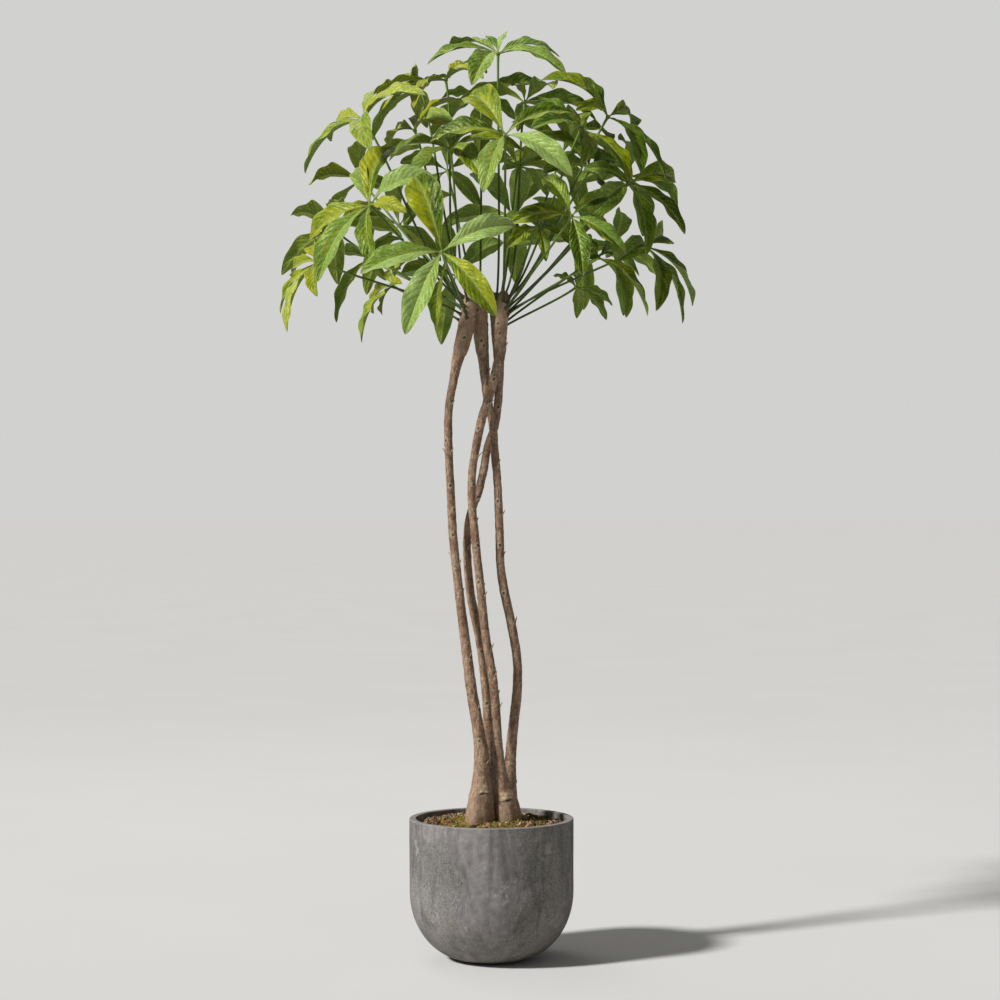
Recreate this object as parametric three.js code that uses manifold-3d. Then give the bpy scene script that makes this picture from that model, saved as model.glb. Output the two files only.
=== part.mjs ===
// A potted money tree: a round-bottomed concrete planter filled with soil, four loosely braided
// trunks and a crown of hand-shaped leaves on long stalks. Millimetres, +Z up, front towards -Y.
// The origin is the centre of the flat spot under the planter.
import * as THREE from "three";
import { mergeVertices } from "three/addons/utils/BufferGeometryUtils.js";
import Module from "manifold-3d";

const wasm = await Module();
wasm.setup();

// Driving dimensions
const gap = 0.3; // clear space between pieces that touch
const potRadius = 150;
const potHeight = 257;
const potWall = 12;
const potFloor = 14;
const potFoot = 45; // radius of the flat spot underneath
const potBelly = 125; // height where the round bottom meets the straight wall
const potSides = 28;
const potArcSteps = 6;
const soilDrop = 14; // from the rim down to the edge of the soil
const soilMound = 15; // rise of the soil from its edge to the middle
const soilGrain = 1.6; // height of the lumps in its surface
const soilRings = 4;
const trunkSides = 8;
const trunkSteps = 22;
const trunkDome = 2; // rise of a trunk's rounded end
const flareHeight = 120; // the trunks swell into a lobed base below this height above the soil
const flareLobes = 3;
const flareDepth = 0.09; // of the radius
const stalkRadius = 2.2;
const stalkSides = 5;
const stalkFoot = 3.2; // radius of the swollen foot that sits on the trunk
const stalkRoot = 4; // how far inside the bark a stalk is drawn before it is cut to the trunk
const stalkClear = 10; // from the end of a trunk down to its first stalk
const stalkSpacing = 5.2; // between stalk feet, down the head of a trunk
const stalkRise = 0.7; // slope at which a stalk leaves the trunk
const stalkSpring = 0.22; // share of the reach over which it keeps that slope
const stalkNod = 0.35; // how far it turns towards the leaf's own normal under the hub
const stalkNeck = 0.3; // share of the reach over which it turns
const stalkShares = [0, 0.06, 0.5, 0.75, 1]; // rings along a stalk, the first two round its foot
const hubRadius = 6;
const bladeLength = 150;
const bladeWidth = 46; // of a blade of that length
const bladeThickness = 0.8;
const bladeFold = 0.4; // radians that each half rises from the midrib
const bladeRipple = 6; // height of the waves along the edges
const bladeStations = [0.02, 0.2, 0.5, 0.8, 1];
const bladeSkew = 1.3; // above 1 the widest place moves towards the tip
const bladeTaper = 1.15; // above 1 the base runs out in a wedge
const bladeBlunt = 0.45; // how much fuller the tip is than the base
const bladeLift = 0.45; // radians above the leaf's plane at which a blade leaves the hub
const bladeCurl = 0.45; // how far it bends back towards that plane
const bladeSag = 0.14; // how far it hangs under its own weight
const shortestBlade = 0.92; // of the leaf's size
const bladeSpread = 0.14; // from the shortest blade to the longest

const up = new THREE.Vector3(0, 0, 1);
const degrees = Math.PI / 180;

// A repeatable number from 0 to 1 for a pair of counts.
function chance(n, k) {
  const s = Math.sin(n * 12.9898 + k * 78.233) * 43758.5453;
  return s - Math.floor(s);
}

function solidOf(geometry) {
  const bare = geometry.clone();
  bare.deleteAttribute("normal");
  bare.deleteAttribute("uv");
  const merged = mergeVertices(bare, 1e-4);
  return new wasm.Manifold(
    new wasm.Mesh({
      numProp: 3,
      vertProperties: new Float32Array(merged.attributes.position.array),
      triVerts: new Uint32Array(merged.index.array),
    }),
  );
}

function geometryOf(solid) {
  const made = solid.getMesh();
  const geometry = new THREE.BufferGeometry();
  geometry.setAttribute("position", new THREE.BufferAttribute(made.vertProperties, 3));
  geometry.setIndex(new THREE.BufferAttribute(made.triVerts, 1));
  geometry.computeVertexNormals();
  return geometry;
}

function fromPoints(points, triangles) {
  const geometry = new THREE.BufferGeometry();
  const places = points.flatMap((point) => point.toArray());
  geometry.setAttribute("position", new THREE.Float32BufferAttribute(places, 3));
  geometry.setIndex(triangles.flat());
  geometry.computeVertexNormals();
  return geometry;
}

// Closes a stack of rings, each counter-clockwise seen from the last one, with a fan at each end.
function skin(rings, first, last) {
  const sides = rings[0].length;
  const points = [first, ...rings.flat(), last];
  const lastIndex = points.length - 1;
  const at = (ring, side) => 1 + ring * sides + (side % sides);
  const triangles = [];
  for (let side = 0; side < sides; side++) {
    triangles.push([0, at(0, side + 1), at(0, side)]);
    for (let ring = 0; ring < rings.length - 1; ring++) {
      triangles.push([at(ring, side), at(ring, side + 1), at(ring + 1, side + 1)]);
      triangles.push([at(ring, side), at(ring + 1, side + 1), at(ring + 1, side)]);
    }
    triangles.push([lastIndex, at(rings.length - 1, side), at(rings.length - 1, side + 1)]);
  }
  return fromPoints(points, triangles);
}

// A ring of points round a centre, square to a direction, with its radius a function of the angle.
function ringRound(centre, along, sides, radiusAt) {
  const steep = Math.abs(along.z) > 0.9;
  const reference = steep ? new THREE.Vector3(0, 1, 0) : up;
  const across = new THREE.Vector3().crossVectors(reference, along).normalize();
  const other = new THREE.Vector3().crossVectors(along, across);
  return Array.from({ length: sides }, (_, side) => {
    const angle = (side / sides) * 2 * Math.PI;
    const radius = radiusAt(angle);
    return centre
      .clone()
      .addScaledVector(across, Math.cos(angle) * radius)
      .addScaledVector(other, Math.sin(angle) * radius);
  });
}

// The round bottom of the planter: a quarter ellipse from the flat foot up to the straight wall.
function bowlArc(foot, radius, floor) {
  return Array.from({ length: potArcSteps + 1 }, (_, step) => {
    const angle = ((1 - step / potArcSteps) * Math.PI) / 2;
    return new THREE.Vector2(
      foot + (radius - foot) * Math.cos(angle),
      floor + (potBelly - floor) * (1 - Math.sin(angle)),
    );
  });
}

const insideRadius = potRadius - potWall;
const insideFoot = potFoot - potWall / 2;

function planter() {
  const outside = bowlArc(potFoot, potRadius, 0);
  const inside = bowlArc(insideFoot, insideRadius, potFloor).reverse();
  const turned = new THREE.LatheGeometry(
    [
      new THREE.Vector2(0, 0),
      ...outside,
      new THREE.Vector2(potRadius, potHeight),
      new THREE.Vector2(insideRadius, potHeight),
      ...inside,
      new THREE.Vector2(0, potFloor),
    ],
    potSides,
  );
  return turned.rotateX(Math.PI / 2);
}

// Trunks: points on each centre line as x, y, z and the radius there, from the head down.
const trunkPaths = {
  trunk_left: [
    [-39, -14, 1215, 9], [-39, -14, 1203, 12.8], [-41, -14, 1181, 14.1], [-54, -14, 1121, 14.1],
    [-61, -14, 1097, 10.9], [-70, -12, 1053, 7.8], [-78, -10, 1002, 7.4], [-79, -10, 960, 7.4],
    [-75, -10, 865, 7.4], [-70, -12, 772, 7.8], [-60, -15, 678, 8.2], [-48, -20, 583, 9],
    [-36, -26, 491, 10], [-24, -30, 422, 11], [-18, -33, 375, 13.6], [-18, -35, 330, 17.2],
    [-20, -36, 296, 23], [-23, -36, 259, 26.5], [-23, -36, 216, 21],
  ],
  trunk_front: [
    [22, -8, 1216, 8], [22, -8, 1206, 11], [17, -8, 1147, 11.4], [15, -10, 1101, 10],
    [3, -12, 1053, 8.2], [-7, -14, 1019, 8.2], [-18, -14, 984, 8], [-28, -13, 936, 7.5],
    [-35, -12, 891, 7.4], [-36, -12, 838, 7.4], [-30, -12, 772, 7.4], [-20, -12, 677, 7.8],
    [-10, -13, 586, 7.8], [2, -15, 514, 8.2], [7, -16, 466, 8.2], [11, -18, 397, 9.1],
    [15, -20, 352, 11], [19, -20, 315, 16.4], [24, -20, 294, 21.5], [29, -20, 261, 24], [29, -20, 213, 19],
  ],
  trunk_rear: [
    [8, 24, 1216, 8], [8, 24, 1204, 11], [11, 24, 1149, 12], [13, 25, 1110, 10.1],
    [14, 27, 1055, 7.8], [11, 28, 1009, 7.4], [4, 28, 967, 7.4], [-7, 27, 937, 7.4],
    [-15, 20, 891, 7.4], [-24, 15, 853, 7.3], [-40, 14, 807, 7.3], [-45, 14, 765, 7.3],
    [-40, 14, 677, 7.8], [-32, 15, 631, 8.3], [-22, 15, 585, 8.3], [-16, 16, 544, 8.3],
    [-8, 18, 463, 8.7], [-5, 24, 382, 10.1], [-8, 30, 322, 13.6], [-11, 34, 287, 17.6],
    [-12, 35, 254, 19.6], [-12, 35, 206, 17],
  ],
  trunk_right: [
    [-22, 10, 1216, 9], [-22, 10, 1204, 13.5], [-22, 10, 1183, 14.6], [-18, 10, 1122, 12.8],
    [-15, 10, 1098, 10.5], [-11, 8, 1054, 8.2], [-6, 8, 1014, 7.8], [1, 8, 985, 7.6],
    [5, 9, 937, 7.4], [11, 10, 866, 7.4], [15, 10, 772, 7.8], [16, 11, 724, 7.8],
    [22, 12, 677, 8.3], [32, 14, 631, 8.3], [41, 16, 585, 8.3], [47, 18, 544, 8.3],
    [47, 22, 487, 8.7], [42, 26, 439, 9.2], [37, 31, 392, 9.6], [34, 37, 344, 11.2],
    [31, 44, 303, 15], [30, 50, 253, 18.4], [30, 50, 205, 16],
  ],
};

const soilEdge = potHeight - soilDrop;

// The centre line from the buried end up, with the radius along it.
function trunkLine(path) {
  const rows = [...path].reverse();
  const line = new THREE.CatmullRomCurve3(rows.map(([x, y, z]) => new THREE.Vector3(x, y, z)));
  const radiusAt = (share) => {
    const place = share * (rows.length - 1);
    const row = Math.min(Math.floor(place), rows.length - 2);
    return THREE.MathUtils.lerp(rows[row][3], rows[row + 1][3], place - row);
  };
  return { line, radiusAt };
}

// A trunk, or with some extra radius the hole that it stands in. Its rings are shared out by the
// path's own points, which lie closer together on the flared base.
function trunk(path, extra) {
  const { line, radiusAt } = trunkLine(path);
  const rings = [];
  for (let step = 0; step <= trunkSteps; step++) {
    const share = step / trunkSteps;
    const centre = line.getPoint(share);
    const flare = THREE.MathUtils.clamp(1 - (centre.z - soilEdge) / flareHeight, 0, 1);
    const radius = radiusAt(share) + extra;
    const lobed = (angle) => radius * (1 + flareDepth * flare * Math.cos(flareLobes * angle));
    rings.push(ringRound(centre, line.getTangent(share), trunkSides, lobed));
  }
  const bottom = line.getPoint(0).addScaledVector(up, -trunkDome - extra);
  const top = line.getPoint(1).addScaledVector(up, trunkDome + extra);
  return skin(rings, bottom, top);
}

// Soil: it fills the planter, rises to a lumpy mound, and has a plain hole for each trunk.
function soilTop(radius, ring, side) {
  const lump = (chance(ring, side) - 0.5) * 2 * soilGrain;
  return soilEdge + soilMound * (1 - (radius / insideRadius) ** 2) + lump;
}

function soil() {
  const wall = insideRadius - gap;
  const level = (radius, heightAt) =>
    Array.from({ length: potSides }, (_, side) => {
      const angle = (side / potSides) * 2 * Math.PI;
      return new THREE.Vector3(Math.cos(angle) * radius, Math.sin(angle) * radius, heightAt(side));
    });
  const arc = bowlArc(insideFoot - gap, wall, potFloor + gap);
  const rings = arc.map((point) => level(point.x, () => point.y));
  rings.push(level(wall, () => soilEdge));
  for (let ring = 1; ring < soilRings; ring++) {
    const radius = wall * (1 - ring / soilRings);
    rings.push(level(radius, (side) => soilTop(radius, ring, side)));
  }
  const floor = new THREE.Vector3(0, 0, potFloor + gap);
  const peak = new THREE.Vector3(0, 0, soilEdge + soilMound);
  let solid = solidOf(skin(rings, floor, peak));
  for (const path of Object.values(trunkPaths)) {
    solid = solid.subtract(solidOf(trunk(path, gap)));
  }
  return geometryOf(solid);
}

// Leaves. Each row gives the trunk whose head the stalk grows from, the hub where the blades meet,
// which way the leaf faces (heading round +Z from +X, and tilt from straight up), the length of a
// full blade, and the blades: an angle each, or an angle and a share of the full length. Angles are
// counted in the leaf's plane, from level on the heading's left towards uphill.
const leaves = [
  // the top of the crown
  { trunk: "trunk_rear", hub: [12, -10, 1652], face: [-88, 26], size: 156,
    blades: [176, 132, 90, -112, 30, -22] },
  { trunk: "trunk_right", hub: [-84, 10, 1608], face: [-150, 25], size: 145,
    blades: [112, [48, 0.6], 5, -60, -118, [-165, 0.7]] },
  { trunk: "trunk_right", hub: [-132, 100, 1603], face: [150, 30], size: 140,
    blades: [-30, 25, [100, 0.55], -150, -90] },
  { trunk: "trunk_right", hub: [-20, 160, 1600], face: [95, 34], size: 145,
    blades: [[12, 0.6], 150, [-150, 0.62], -95, -40] },
  { trunk: "trunk_rear", hub: [62, 80, 1579], face: [51, 24], size: 150,
    blades: [[108, 0.62], 150, -160, [-105, 0.82], [-45, 0.72], 30] },
  { trunk: "trunk_front", hub: [211, -40, 1532], face: [-30, 45], size: 162,
    blades: [88, 126, [166, 0.65], 14, -66, -110] },
  { trunk: "trunk_left", hub: [-228, -90, 1520], face: [-150, 45], size: 158,
    blades: [178, -142, 112, 74, 30, -30] },
  { trunk: "trunk_rear", hub: [135, 245, 1505], face: [65, 42], size: 150,
    blades: [0, 60, 125, -170, -90] },
  { trunk: "trunk_left", hub: [-139, -38, 1508], face: [-152, 40], size: 135,
    blades: [176, 130, 84, 10] },
  { trunk: "trunk_rear", hub: [160, -60, 1503], face: [-35, 36], size: 150,
    blades: [172, 110, 50, 8, -90, -140] },
  { trunk: "trunk_right", hub: [-87, 285, 1480], face: [105, 45], size: 150,
    blades: [[20, 0.75], 85, 150, [-140, 0.8], -60] },
  { trunk: "trunk_right", hub: [-250, 190, 1448], face: [140, 45], size: 150,
    blades: [0, 60, 120, [180, 0.7], -90] },
  // the middle of the crown
  { trunk: "trunk_front", hub: [24, -210, 1473], face: [-98, 48], size: 160,
    blades: [172, [118, 1.2], 37, -32, [-102, 0.85]] },
  { trunk: "trunk_rear", hub: [50, 125, 1466], face: [60, 30], size: 145,
    blades: [[20, 0.7], 80, [145, 0.8], -155, [-110, 0.65], -60] },
  { trunk: "trunk_rear", hub: [255, 145, 1450], face: [30, 45], size: 150,
    blades: [15, 72, 130, -150, -60] },
  { trunk: "trunk_left", hub: [-73, -105, 1464], face: [-111, 28], size: 148,
    blades: [170, [-110, 0.85], [104, 0.62], 72, -45, 12] },
  { trunk: "trunk_rear", hub: [178, -20, 1437], face: [-40, 45], size: 145,
    blades: [112, 75, 30, -20, [-112, 0.8], 178] },
  { trunk: "trunk_front", hub: [247, -50, 1409], face: [-58, 60], size: 148,
    blades: [-92, -38, 20, [95, 0.5], [150, 0.7], -150] },
  { trunk: "trunk_rear", hub: [40, 315, 1395], face: [85, 50], size: 155,
    blades: [0, 60, 120, -165, -90] },
  { trunk: "trunk_right", hub: [-180, 270, 1372], face: [122, 50], size: 150,
    blades: [10, 70, 130, -155, -80] },
  { trunk: "trunk_left", hub: [-213, -170, 1355], face: [-130, 60], size: 152,
    blades: [118, [96, 1.15], 36, [-4, 0.7], [-62, 0.85], -118, -164] },
  { trunk: "trunk_rear", hub: [162, 292, 1340], face: [60, 52], size: 150,
    blades: [10, 70, 130, -155, -80] },
  { trunk: "trunk_left", hub: [-289, 60, 1337], face: [110, 35], size: 135,
    blades: [35, 80, 125, 170, -50, -105] },
  { trunk: "trunk_front", hub: [140, -200, 1333], face: [-80, 62], size: 122,
    blades: [178, 112, [40, 0.92], -84, -32] },
  { trunk: "trunk_front", hub: [82, -80, 1329], face: [-70, 55], size: 80,
    blades: [-88, -30, 60, 150, -150] },
  // the skirt of the crown
  { trunk: "trunk_right", hub: [-235, 225, 1302], face: [140, 55], size: 140,
    blades: [[10, 0.8], 70, [130, 0.65], [-155, 0.6], -80] },
  { trunk: "trunk_front", hub: [280, -20, 1300], face: [-28, 60], size: 154,
    blades: [-172, -124, -84, -38, 22] },
  { trunk: "trunk_rear", hub: [225, 200, 1320], face: [42, 60], size: 140,
    blades: [[10, 0.7], 70, 130, -155, -80] },
  { trunk: "trunk_right", hub: [-70, 285, 1275], face: [110, 62], size: 140,
    blades: [10, 70, 130, -150, -85] },
  { trunk: "trunk_front", hub: [191, -100, 1271], face: [-25, 50], size: 150,
    blades: [-115, -55, [178, 0.45], [20, 0.7], [90, 0.6]] },
  { trunk: "trunk_left", hub: [-309, -90, 1264], face: [-150, 60], size: 130,
    blades: [-92, -135, 180, [138, 0.8], [94, 0.7], [-48, 0.7]] },
  { trunk: "trunk_left", hub: [-85, -95, 1245], face: [-118, 75], size: 95,
    blades: [-92, -140, [70, 0.5]] },
  { trunk: "trunk_left", hub: [-83, -300, 1260], face: [-92, 70], size: 162,
    blades: [-174, -115, -46, 32, [106, 1.2]] },
  { trunk: "trunk_left", hub: [-183, 40, 1233], face: [-165, 60], size: 125,
    blades: [-118, -165, 142, [80, 0.7], [-60, 0.6], [10, 0.5]] },
  { trunk: "trunk_rear", hub: [157, 68, 1233], face: [50, 40], size: 86,
    blades: [-60, -112, -150, [60, 0.7], [120, 0.6]] },
];

// The leaf's plane: its normal, the level direction in it and the direction uphill in it.
function leafPlane([heading, tilt]) {
  const turned = heading * degrees;
  const leant = tilt * degrees;
  const level = new THREE.Vector3(-Math.sin(turned), Math.cos(turned), 0);
  const downhill = new THREE.Vector3(Math.cos(turned), Math.sin(turned), 0);
  const normal = downhill.multiplyScalar(Math.sin(leant)).addScaledVector(up, Math.cos(leant));
  const uphill = new THREE.Vector3().crossVectors(normal, level);
  return { normal, level, uphill };
}

// Half the width of a blade along its length, as a share of the widest: a wedge at the hub, a blunt tip.
function halfWidth(t) {
  return Math.sin(Math.PI * t ** bladeSkew) ** (bladeTaper - bladeBlunt * t);
}

// A blade leaves the hub at a slant, arches over and sags: hub + length * (out * t - bend * t * t).
// Its two halves fold up from the midrib and their edges ripple; the first and last stations are
// points, and each panel between two stations is split alike on the upper and lower face.
function blade(hub, plane, angle, length, ripple) {
  const { normal, level, uphill } = plane;
  const flat = level.clone().multiplyScalar(Math.cos(angle)).addScaledVector(uphill, Math.sin(angle));
  const out = flat.multiplyScalar(Math.cos(bladeLift)).addScaledVector(normal, Math.sin(bladeLift));
  const bend = normal.clone().multiplyScalar(bladeCurl).addScaledVector(up, bladeSag);
  const widest = (bladeWidth * length) / bladeLength / 2;
  const lastStation = bladeStations.length - 1;
  const points = [];
  const rows = bladeStations.map((t, station) => {
    const middle = hub.clone().addScaledVector(out, length * t).addScaledVector(bend, -length * t * t);
    const along = out.clone().addScaledVector(bend, -2 * t).normalize();
    const side = new THREE.Vector3().crossVectors(along, normal).normalize();
    const over = new THREE.Vector3().crossVectors(side, along);
    const half = halfWidth(t) * widest;
    const pointed = station === 0 || station === lastStation;
    const places = pointed ? [0] : [-1, 0, 1];
    const top = places.map((place) => {
      const wave = (chance(ripple, station * 3 + place) - 0.5) * bladeRipple;
      const raised = Math.abs(place) * (Math.sin(bladeFold) * half + wave);
      return middle
        .clone()
        .addScaledVector(side, place * Math.cos(bladeFold) * half)
        .addScaledVector(over, raised + bladeThickness / 2);
    });
    const bottom = top.map((point) => point.clone().addScaledVector(over, -bladeThickness));
    const start = points.length;
    points.push(...top, ...bottom);
    const upper = pointed ? [start, start, start] : [start, start + 1, start + 2];
    const lower = upper.map((index) => index + places.length);
    return { upper, lower };
  });
  const triangles = [];
  const panel = (a, b, c, d) => triangles.push([a, b, c], [a, c, d]);
  for (let station = 0; station < lastStation; station++) {
    const here = rows[station];
    const next = rows[station + 1];
    for (const k of [0, 1]) {
      panel(here.upper[k], here.upper[k + 1], next.upper[k + 1], next.upper[k]);
      panel(next.lower[k + 1], here.lower[k + 1], here.lower[k], next.lower[k]);
    }
    panel(here.upper[0], next.upper[0], next.lower[0], here.lower[0]);
    panel(here.upper[2], here.lower[2], next.lower[2], next.upper[2]);
  }
  const whole = triangles.filter(([a, b, c]) => a !== b && b !== c && c !== a);
  return fromPoints(points, whole);
}

// The stalk leaves the head of its trunk on the hub's side, bends and meets the hub from below.
function stalk(row, order, hub, normal) {
  const { line, radiusAt } = trunkLine(trunkPaths[row.trunk]);
  const footHeight = line.getPoint(1).z - stalkClear - order * stalkSpacing;
  let share = 1;
  while (line.getPoint(share).z > footHeight) share -= 0.001;
  const axis = line.getPoint(share);
  const outward = new THREE.Vector3(hub.x - axis.x, hub.y - axis.y, 0).normalize();
  const leave = outward.clone().addScaledVector(up, stalkRise).normalize();
  const foot = axis.clone().addScaledVector(outward, radiusAt(share) - stalkRoot);
  const reach = foot.distanceTo(hub);
  const straight = hub.clone().sub(foot).normalize();
  const arrive = straight.addScaledVector(normal, stalkNod).normalize();
  const curve = new THREE.CubicBezierCurve3(
    foot,
    foot.clone().addScaledVector(leave, reach * stalkSpring),
    hub.clone().addScaledVector(arrive, -reach * stalkNeck),
    hub.clone(),
  );
  const rings = stalkShares.map((t, ring) => {
    const radius = ring === 0 ? stalkFoot : stalkRadius;
    return ringRound(curve.getPoint(t), curve.getTangent(t), stalkSides, () => radius);
  });
  return skin(rings, curve.getPoint(0), curve.getPoint(1));
}

function leaf(row, number, order) {
  const hub = new THREE.Vector3(...row.hub);
  const plane = leafPlane(row.face);
  const knot = new THREE.OctahedronGeometry(hubRadius, 0).translate(...row.hub);
  let solid = solidOf(stalk(row, order, hub, plane.normal)).add(solidOf(knot));
  row.blades.forEach((entry, count) => {
    const [angle, share = 1] = [entry].flat();
    const length = row.size * share * (shortestBlade + bladeSpread * chance(number, count));
    const ripple = number * 10 + count;
    solid = solid.add(solidOf(blade(hub, plane, angle * degrees, length, ripple)));
  });
  return geometryOf(solid.subtract(solidOf(trunk(trunkPaths[row.trunk], gap))));
}

const concrete = new THREE.MeshStandardMaterial({ color: "#4b4a48", roughness: 0.95, metalness: 0 });
const earth = new THREE.MeshStandardMaterial({ color: "#4a3d27", roughness: 1, metalness: 0 });
const bark = new THREE.MeshStandardMaterial({ color: "#7a5a44", roughness: 0.9, metalness: 0 });
const leafGreen = new THREE.MeshStandardMaterial({ color: "#5f8f2f", roughness: 0.5, metalness: 0 });

const tree = new THREE.Group();

function place(name, geometry, material) {
  const mesh = new THREE.Mesh(geometry, material);
  mesh.name = name;
  tree.add(mesh);
}

place("pot", planter(), concrete);
place("soil", soil(), earth);
for (const [name, path] of Object.entries(trunkPaths)) {
  place(name, trunk(path, 0), bark);
}

// Steeper stalks sit nearer the top of their trunk's head.
function steepness({ trunk: name, hub }) {
  const [x, y, z] = trunkPaths[name][0];
  return (hub[2] - z) / Math.hypot(hub[0] - x, hub[1] - y);
}

leaves.forEach((row, number) => {
  const above = leaves.filter((other) => other.trunk === row.trunk && steepness(other) > steepness(row));
  const name = "leaf_" + String(number + 1).padStart(2, "0");
  place(name, leaf(row, number, above.length), leafGreen);
});

export default tree;
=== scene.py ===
# A potted money tree: a cast planter full of soil, four loosely braided trunks and a crown of
# hand-shaped leaves on long stalks. Lengths are millimetres, as in the CAD model, until a mesh is made.
import functools
import math
import bpy
import numpy as np
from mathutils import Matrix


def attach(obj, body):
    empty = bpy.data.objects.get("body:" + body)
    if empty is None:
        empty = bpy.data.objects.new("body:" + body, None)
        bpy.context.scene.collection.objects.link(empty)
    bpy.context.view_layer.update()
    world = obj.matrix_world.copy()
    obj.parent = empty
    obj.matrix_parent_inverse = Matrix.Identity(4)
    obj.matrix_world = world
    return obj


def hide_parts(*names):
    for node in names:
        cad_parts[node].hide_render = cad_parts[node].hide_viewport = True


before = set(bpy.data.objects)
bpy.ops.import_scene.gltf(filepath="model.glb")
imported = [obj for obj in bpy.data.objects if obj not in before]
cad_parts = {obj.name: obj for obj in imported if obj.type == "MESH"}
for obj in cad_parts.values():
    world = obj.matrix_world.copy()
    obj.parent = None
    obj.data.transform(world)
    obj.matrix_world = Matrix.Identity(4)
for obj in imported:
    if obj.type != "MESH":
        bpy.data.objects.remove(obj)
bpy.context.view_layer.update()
metre = 1000  # millimetres
fullTurn = 2 * math.pi
up = np.array([0.0, 0.0, 1.0])

def chance(n, k):
    # a repeatable number from 0 to 1 for a pair of counts: the fraction of a steep sine
    s = np.sin(np.asarray(n) * 12.9898 + np.asarray(k) * 78.233) * 43758.5453
    return s - np.floor(s)


def lumps(points, cell, seed):
    # smooth noise from -1 to 1: a chance number at each corner of a lattice with this cell, blended
    # between the eight corners round a point by weights f * f * (3 - 2 f)
    place = points / cell
    low = np.floor(place)
    f = place - low
    f = f * f * (3 - 2 * f)
    total = 0
    for corner in range(8):
        step = np.array([corner & 1, corner >> 1 & 1, corner >> 2 & 1])
        at = low + step
        weight = np.prod(np.where(step == 1, f, 1 - f), axis=-1)
        total = total + weight * chance(at[..., 0] + 31.7 * at[..., 2] + seed, at[..., 1] - 17.3 * at[..., 2])
    return 2 * total - 1


def hump(distance, width):
    # a bell: 1 at the middle, about a third at this width
    return np.exp(-(distance / width) ** 2)


def unit(vectors):
    # vectors divided by their own lengths
    return vectors / np.linalg.norm(vectors, axis=-1, keepdims=True)


def eased(x, at, values):
    # values at a few places, joined by half cosine waves
    place = np.interp(x, at, np.arange(len(at)))
    low = np.minimum(place.astype(int), len(at) - 2)
    part = (1 - np.cos(np.pi * (place - low))) / 2
    return values[low] + (values[low + 1] - values[low]) * part

def around(count):
    # this many angles, evenly spread over a full turn
    return np.arange(count) / count * fullTurn


def circled(angle, across, other):
    # one step round a circle for each angle a: cos a of one direction and sin a of the other
    return np.cos(angle)[:, None] * across[..., None, :] + np.sin(angle)[:, None] * other[..., None, :]


def ball(turns, sides):
    # rings of a unit sphere at these latitudes: (cos turn cos a, cos turn sin a, sin turn)
    turn = turns[:, None, None]
    angle = around(sides)[None, :, None]
    return np.concatenate(
        [np.cos(turn) * np.cos(angle), np.cos(turn) * np.sin(angle), np.sin(turn) + 0 * angle], -1)


# A shape is a dictionary: points (n, 3), faces (a list of tuples) and marks, one (n, 3) array per name.
def tube(rings, marks):
    # rings (count, sides, 3), counter-clockwise seen from the last one, with a fan to a middle point at
    # each end; marks are arrays (count, sides, 3) of the same layout
    count, sides = rings.shape[:2]
    row, side = np.meshgrid(np.arange(count - 1), np.arange(sides), indexing="ij")
    beside = (side + 1) % sides
    quads = np.stack([row * sides + side, row * sides + beside,
                      (row + 1) * sides + beside, (row + 1) * sides + side], -1).reshape(-1, 4)
    side = np.arange(sides)
    beside = (side + 1) % sides
    first = count * sides
    fans = np.concatenate([
        np.stack([np.full(sides, first), beside, side], -1),
        np.stack([np.full(sides, first + 1), first - sides + side, first - sides + beside], -1),
    ])

    def closed(values):
        # the rings' values, then the middles of the first and the last ring
        return np.concatenate([values.reshape(-1, 3), values[0].mean(0)[None], values[-1].mean(0)[None]])

    return {
        "points": closed(rings),
        "faces": quads.tolist() + fans.tolist(),
        "marks": {name: closed(values) for name, values in marks.items()},
        "look": 0,
    }


def joined(shapes):
    # several shapes as one; each keeps the number of its look, which is its material's place in the list
    faces = []
    looks = []
    start = 0
    for shape in shapes:
        faces += [[start + corner for corner in face] for face in shape["faces"]]
        looks += [shape["look"]] * len(shape["faces"])
        start += len(shape["points"])
    return {
        "points": np.concatenate([shape["points"] for shape in shapes]),
        "faces": faces,
        "looks": looks,
        "marks": {name: np.concatenate([shape["marks"][name] for shape in shapes])
                  for name in shapes[0]["marks"]},
    }


def addPiece(name, shape, materials, node=None, creaseAngle=None):
    # the mesh lies where the CAD has it, and its object stays at the origin
    mesh = bpy.data.meshes.new(name)
    mesh.from_pydata((shape["points"] / metre).tolist(), [], shape["faces"])
    for mark, values in shape["marks"].items():
        layer = mesh.attributes.new(mark, "FLOAT_VECTOR", "POINT")
        layer.data.foreach_set("vector", values.astype(np.float32).ravel())
    mesh.polygons.foreach_set("use_smooth", np.ones(len(mesh.polygons), bool))
    if "looks" in shape:
        mesh.polygons.foreach_set("material_index", np.array(shape["looks"], np.int32))
    if creaseAngle:
        mesh.set_sharp_from_angle(angle=math.radians(creaseAngle))
    for material in materials:
        mesh.materials.append(material)
    mesh.update()
    piece = bpy.data.objects.new(name, mesh)
    bpy.context.scene.collection.objects.link(piece)
    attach(piece, "root")
    if node:
        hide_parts(node)
    return piece


def linear(hexColour):
    # sRGB hex to the linear colour that sockets take
    parts = [int(hexColour[i:i + 2], 16) / 255 for i in (1, 3, 5)]
    return tuple(c / 12.92 if c <= 0.04045 else ((c + 0.055) / 1.055) ** 2.4 for c in parts) + (1.0,)


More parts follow.
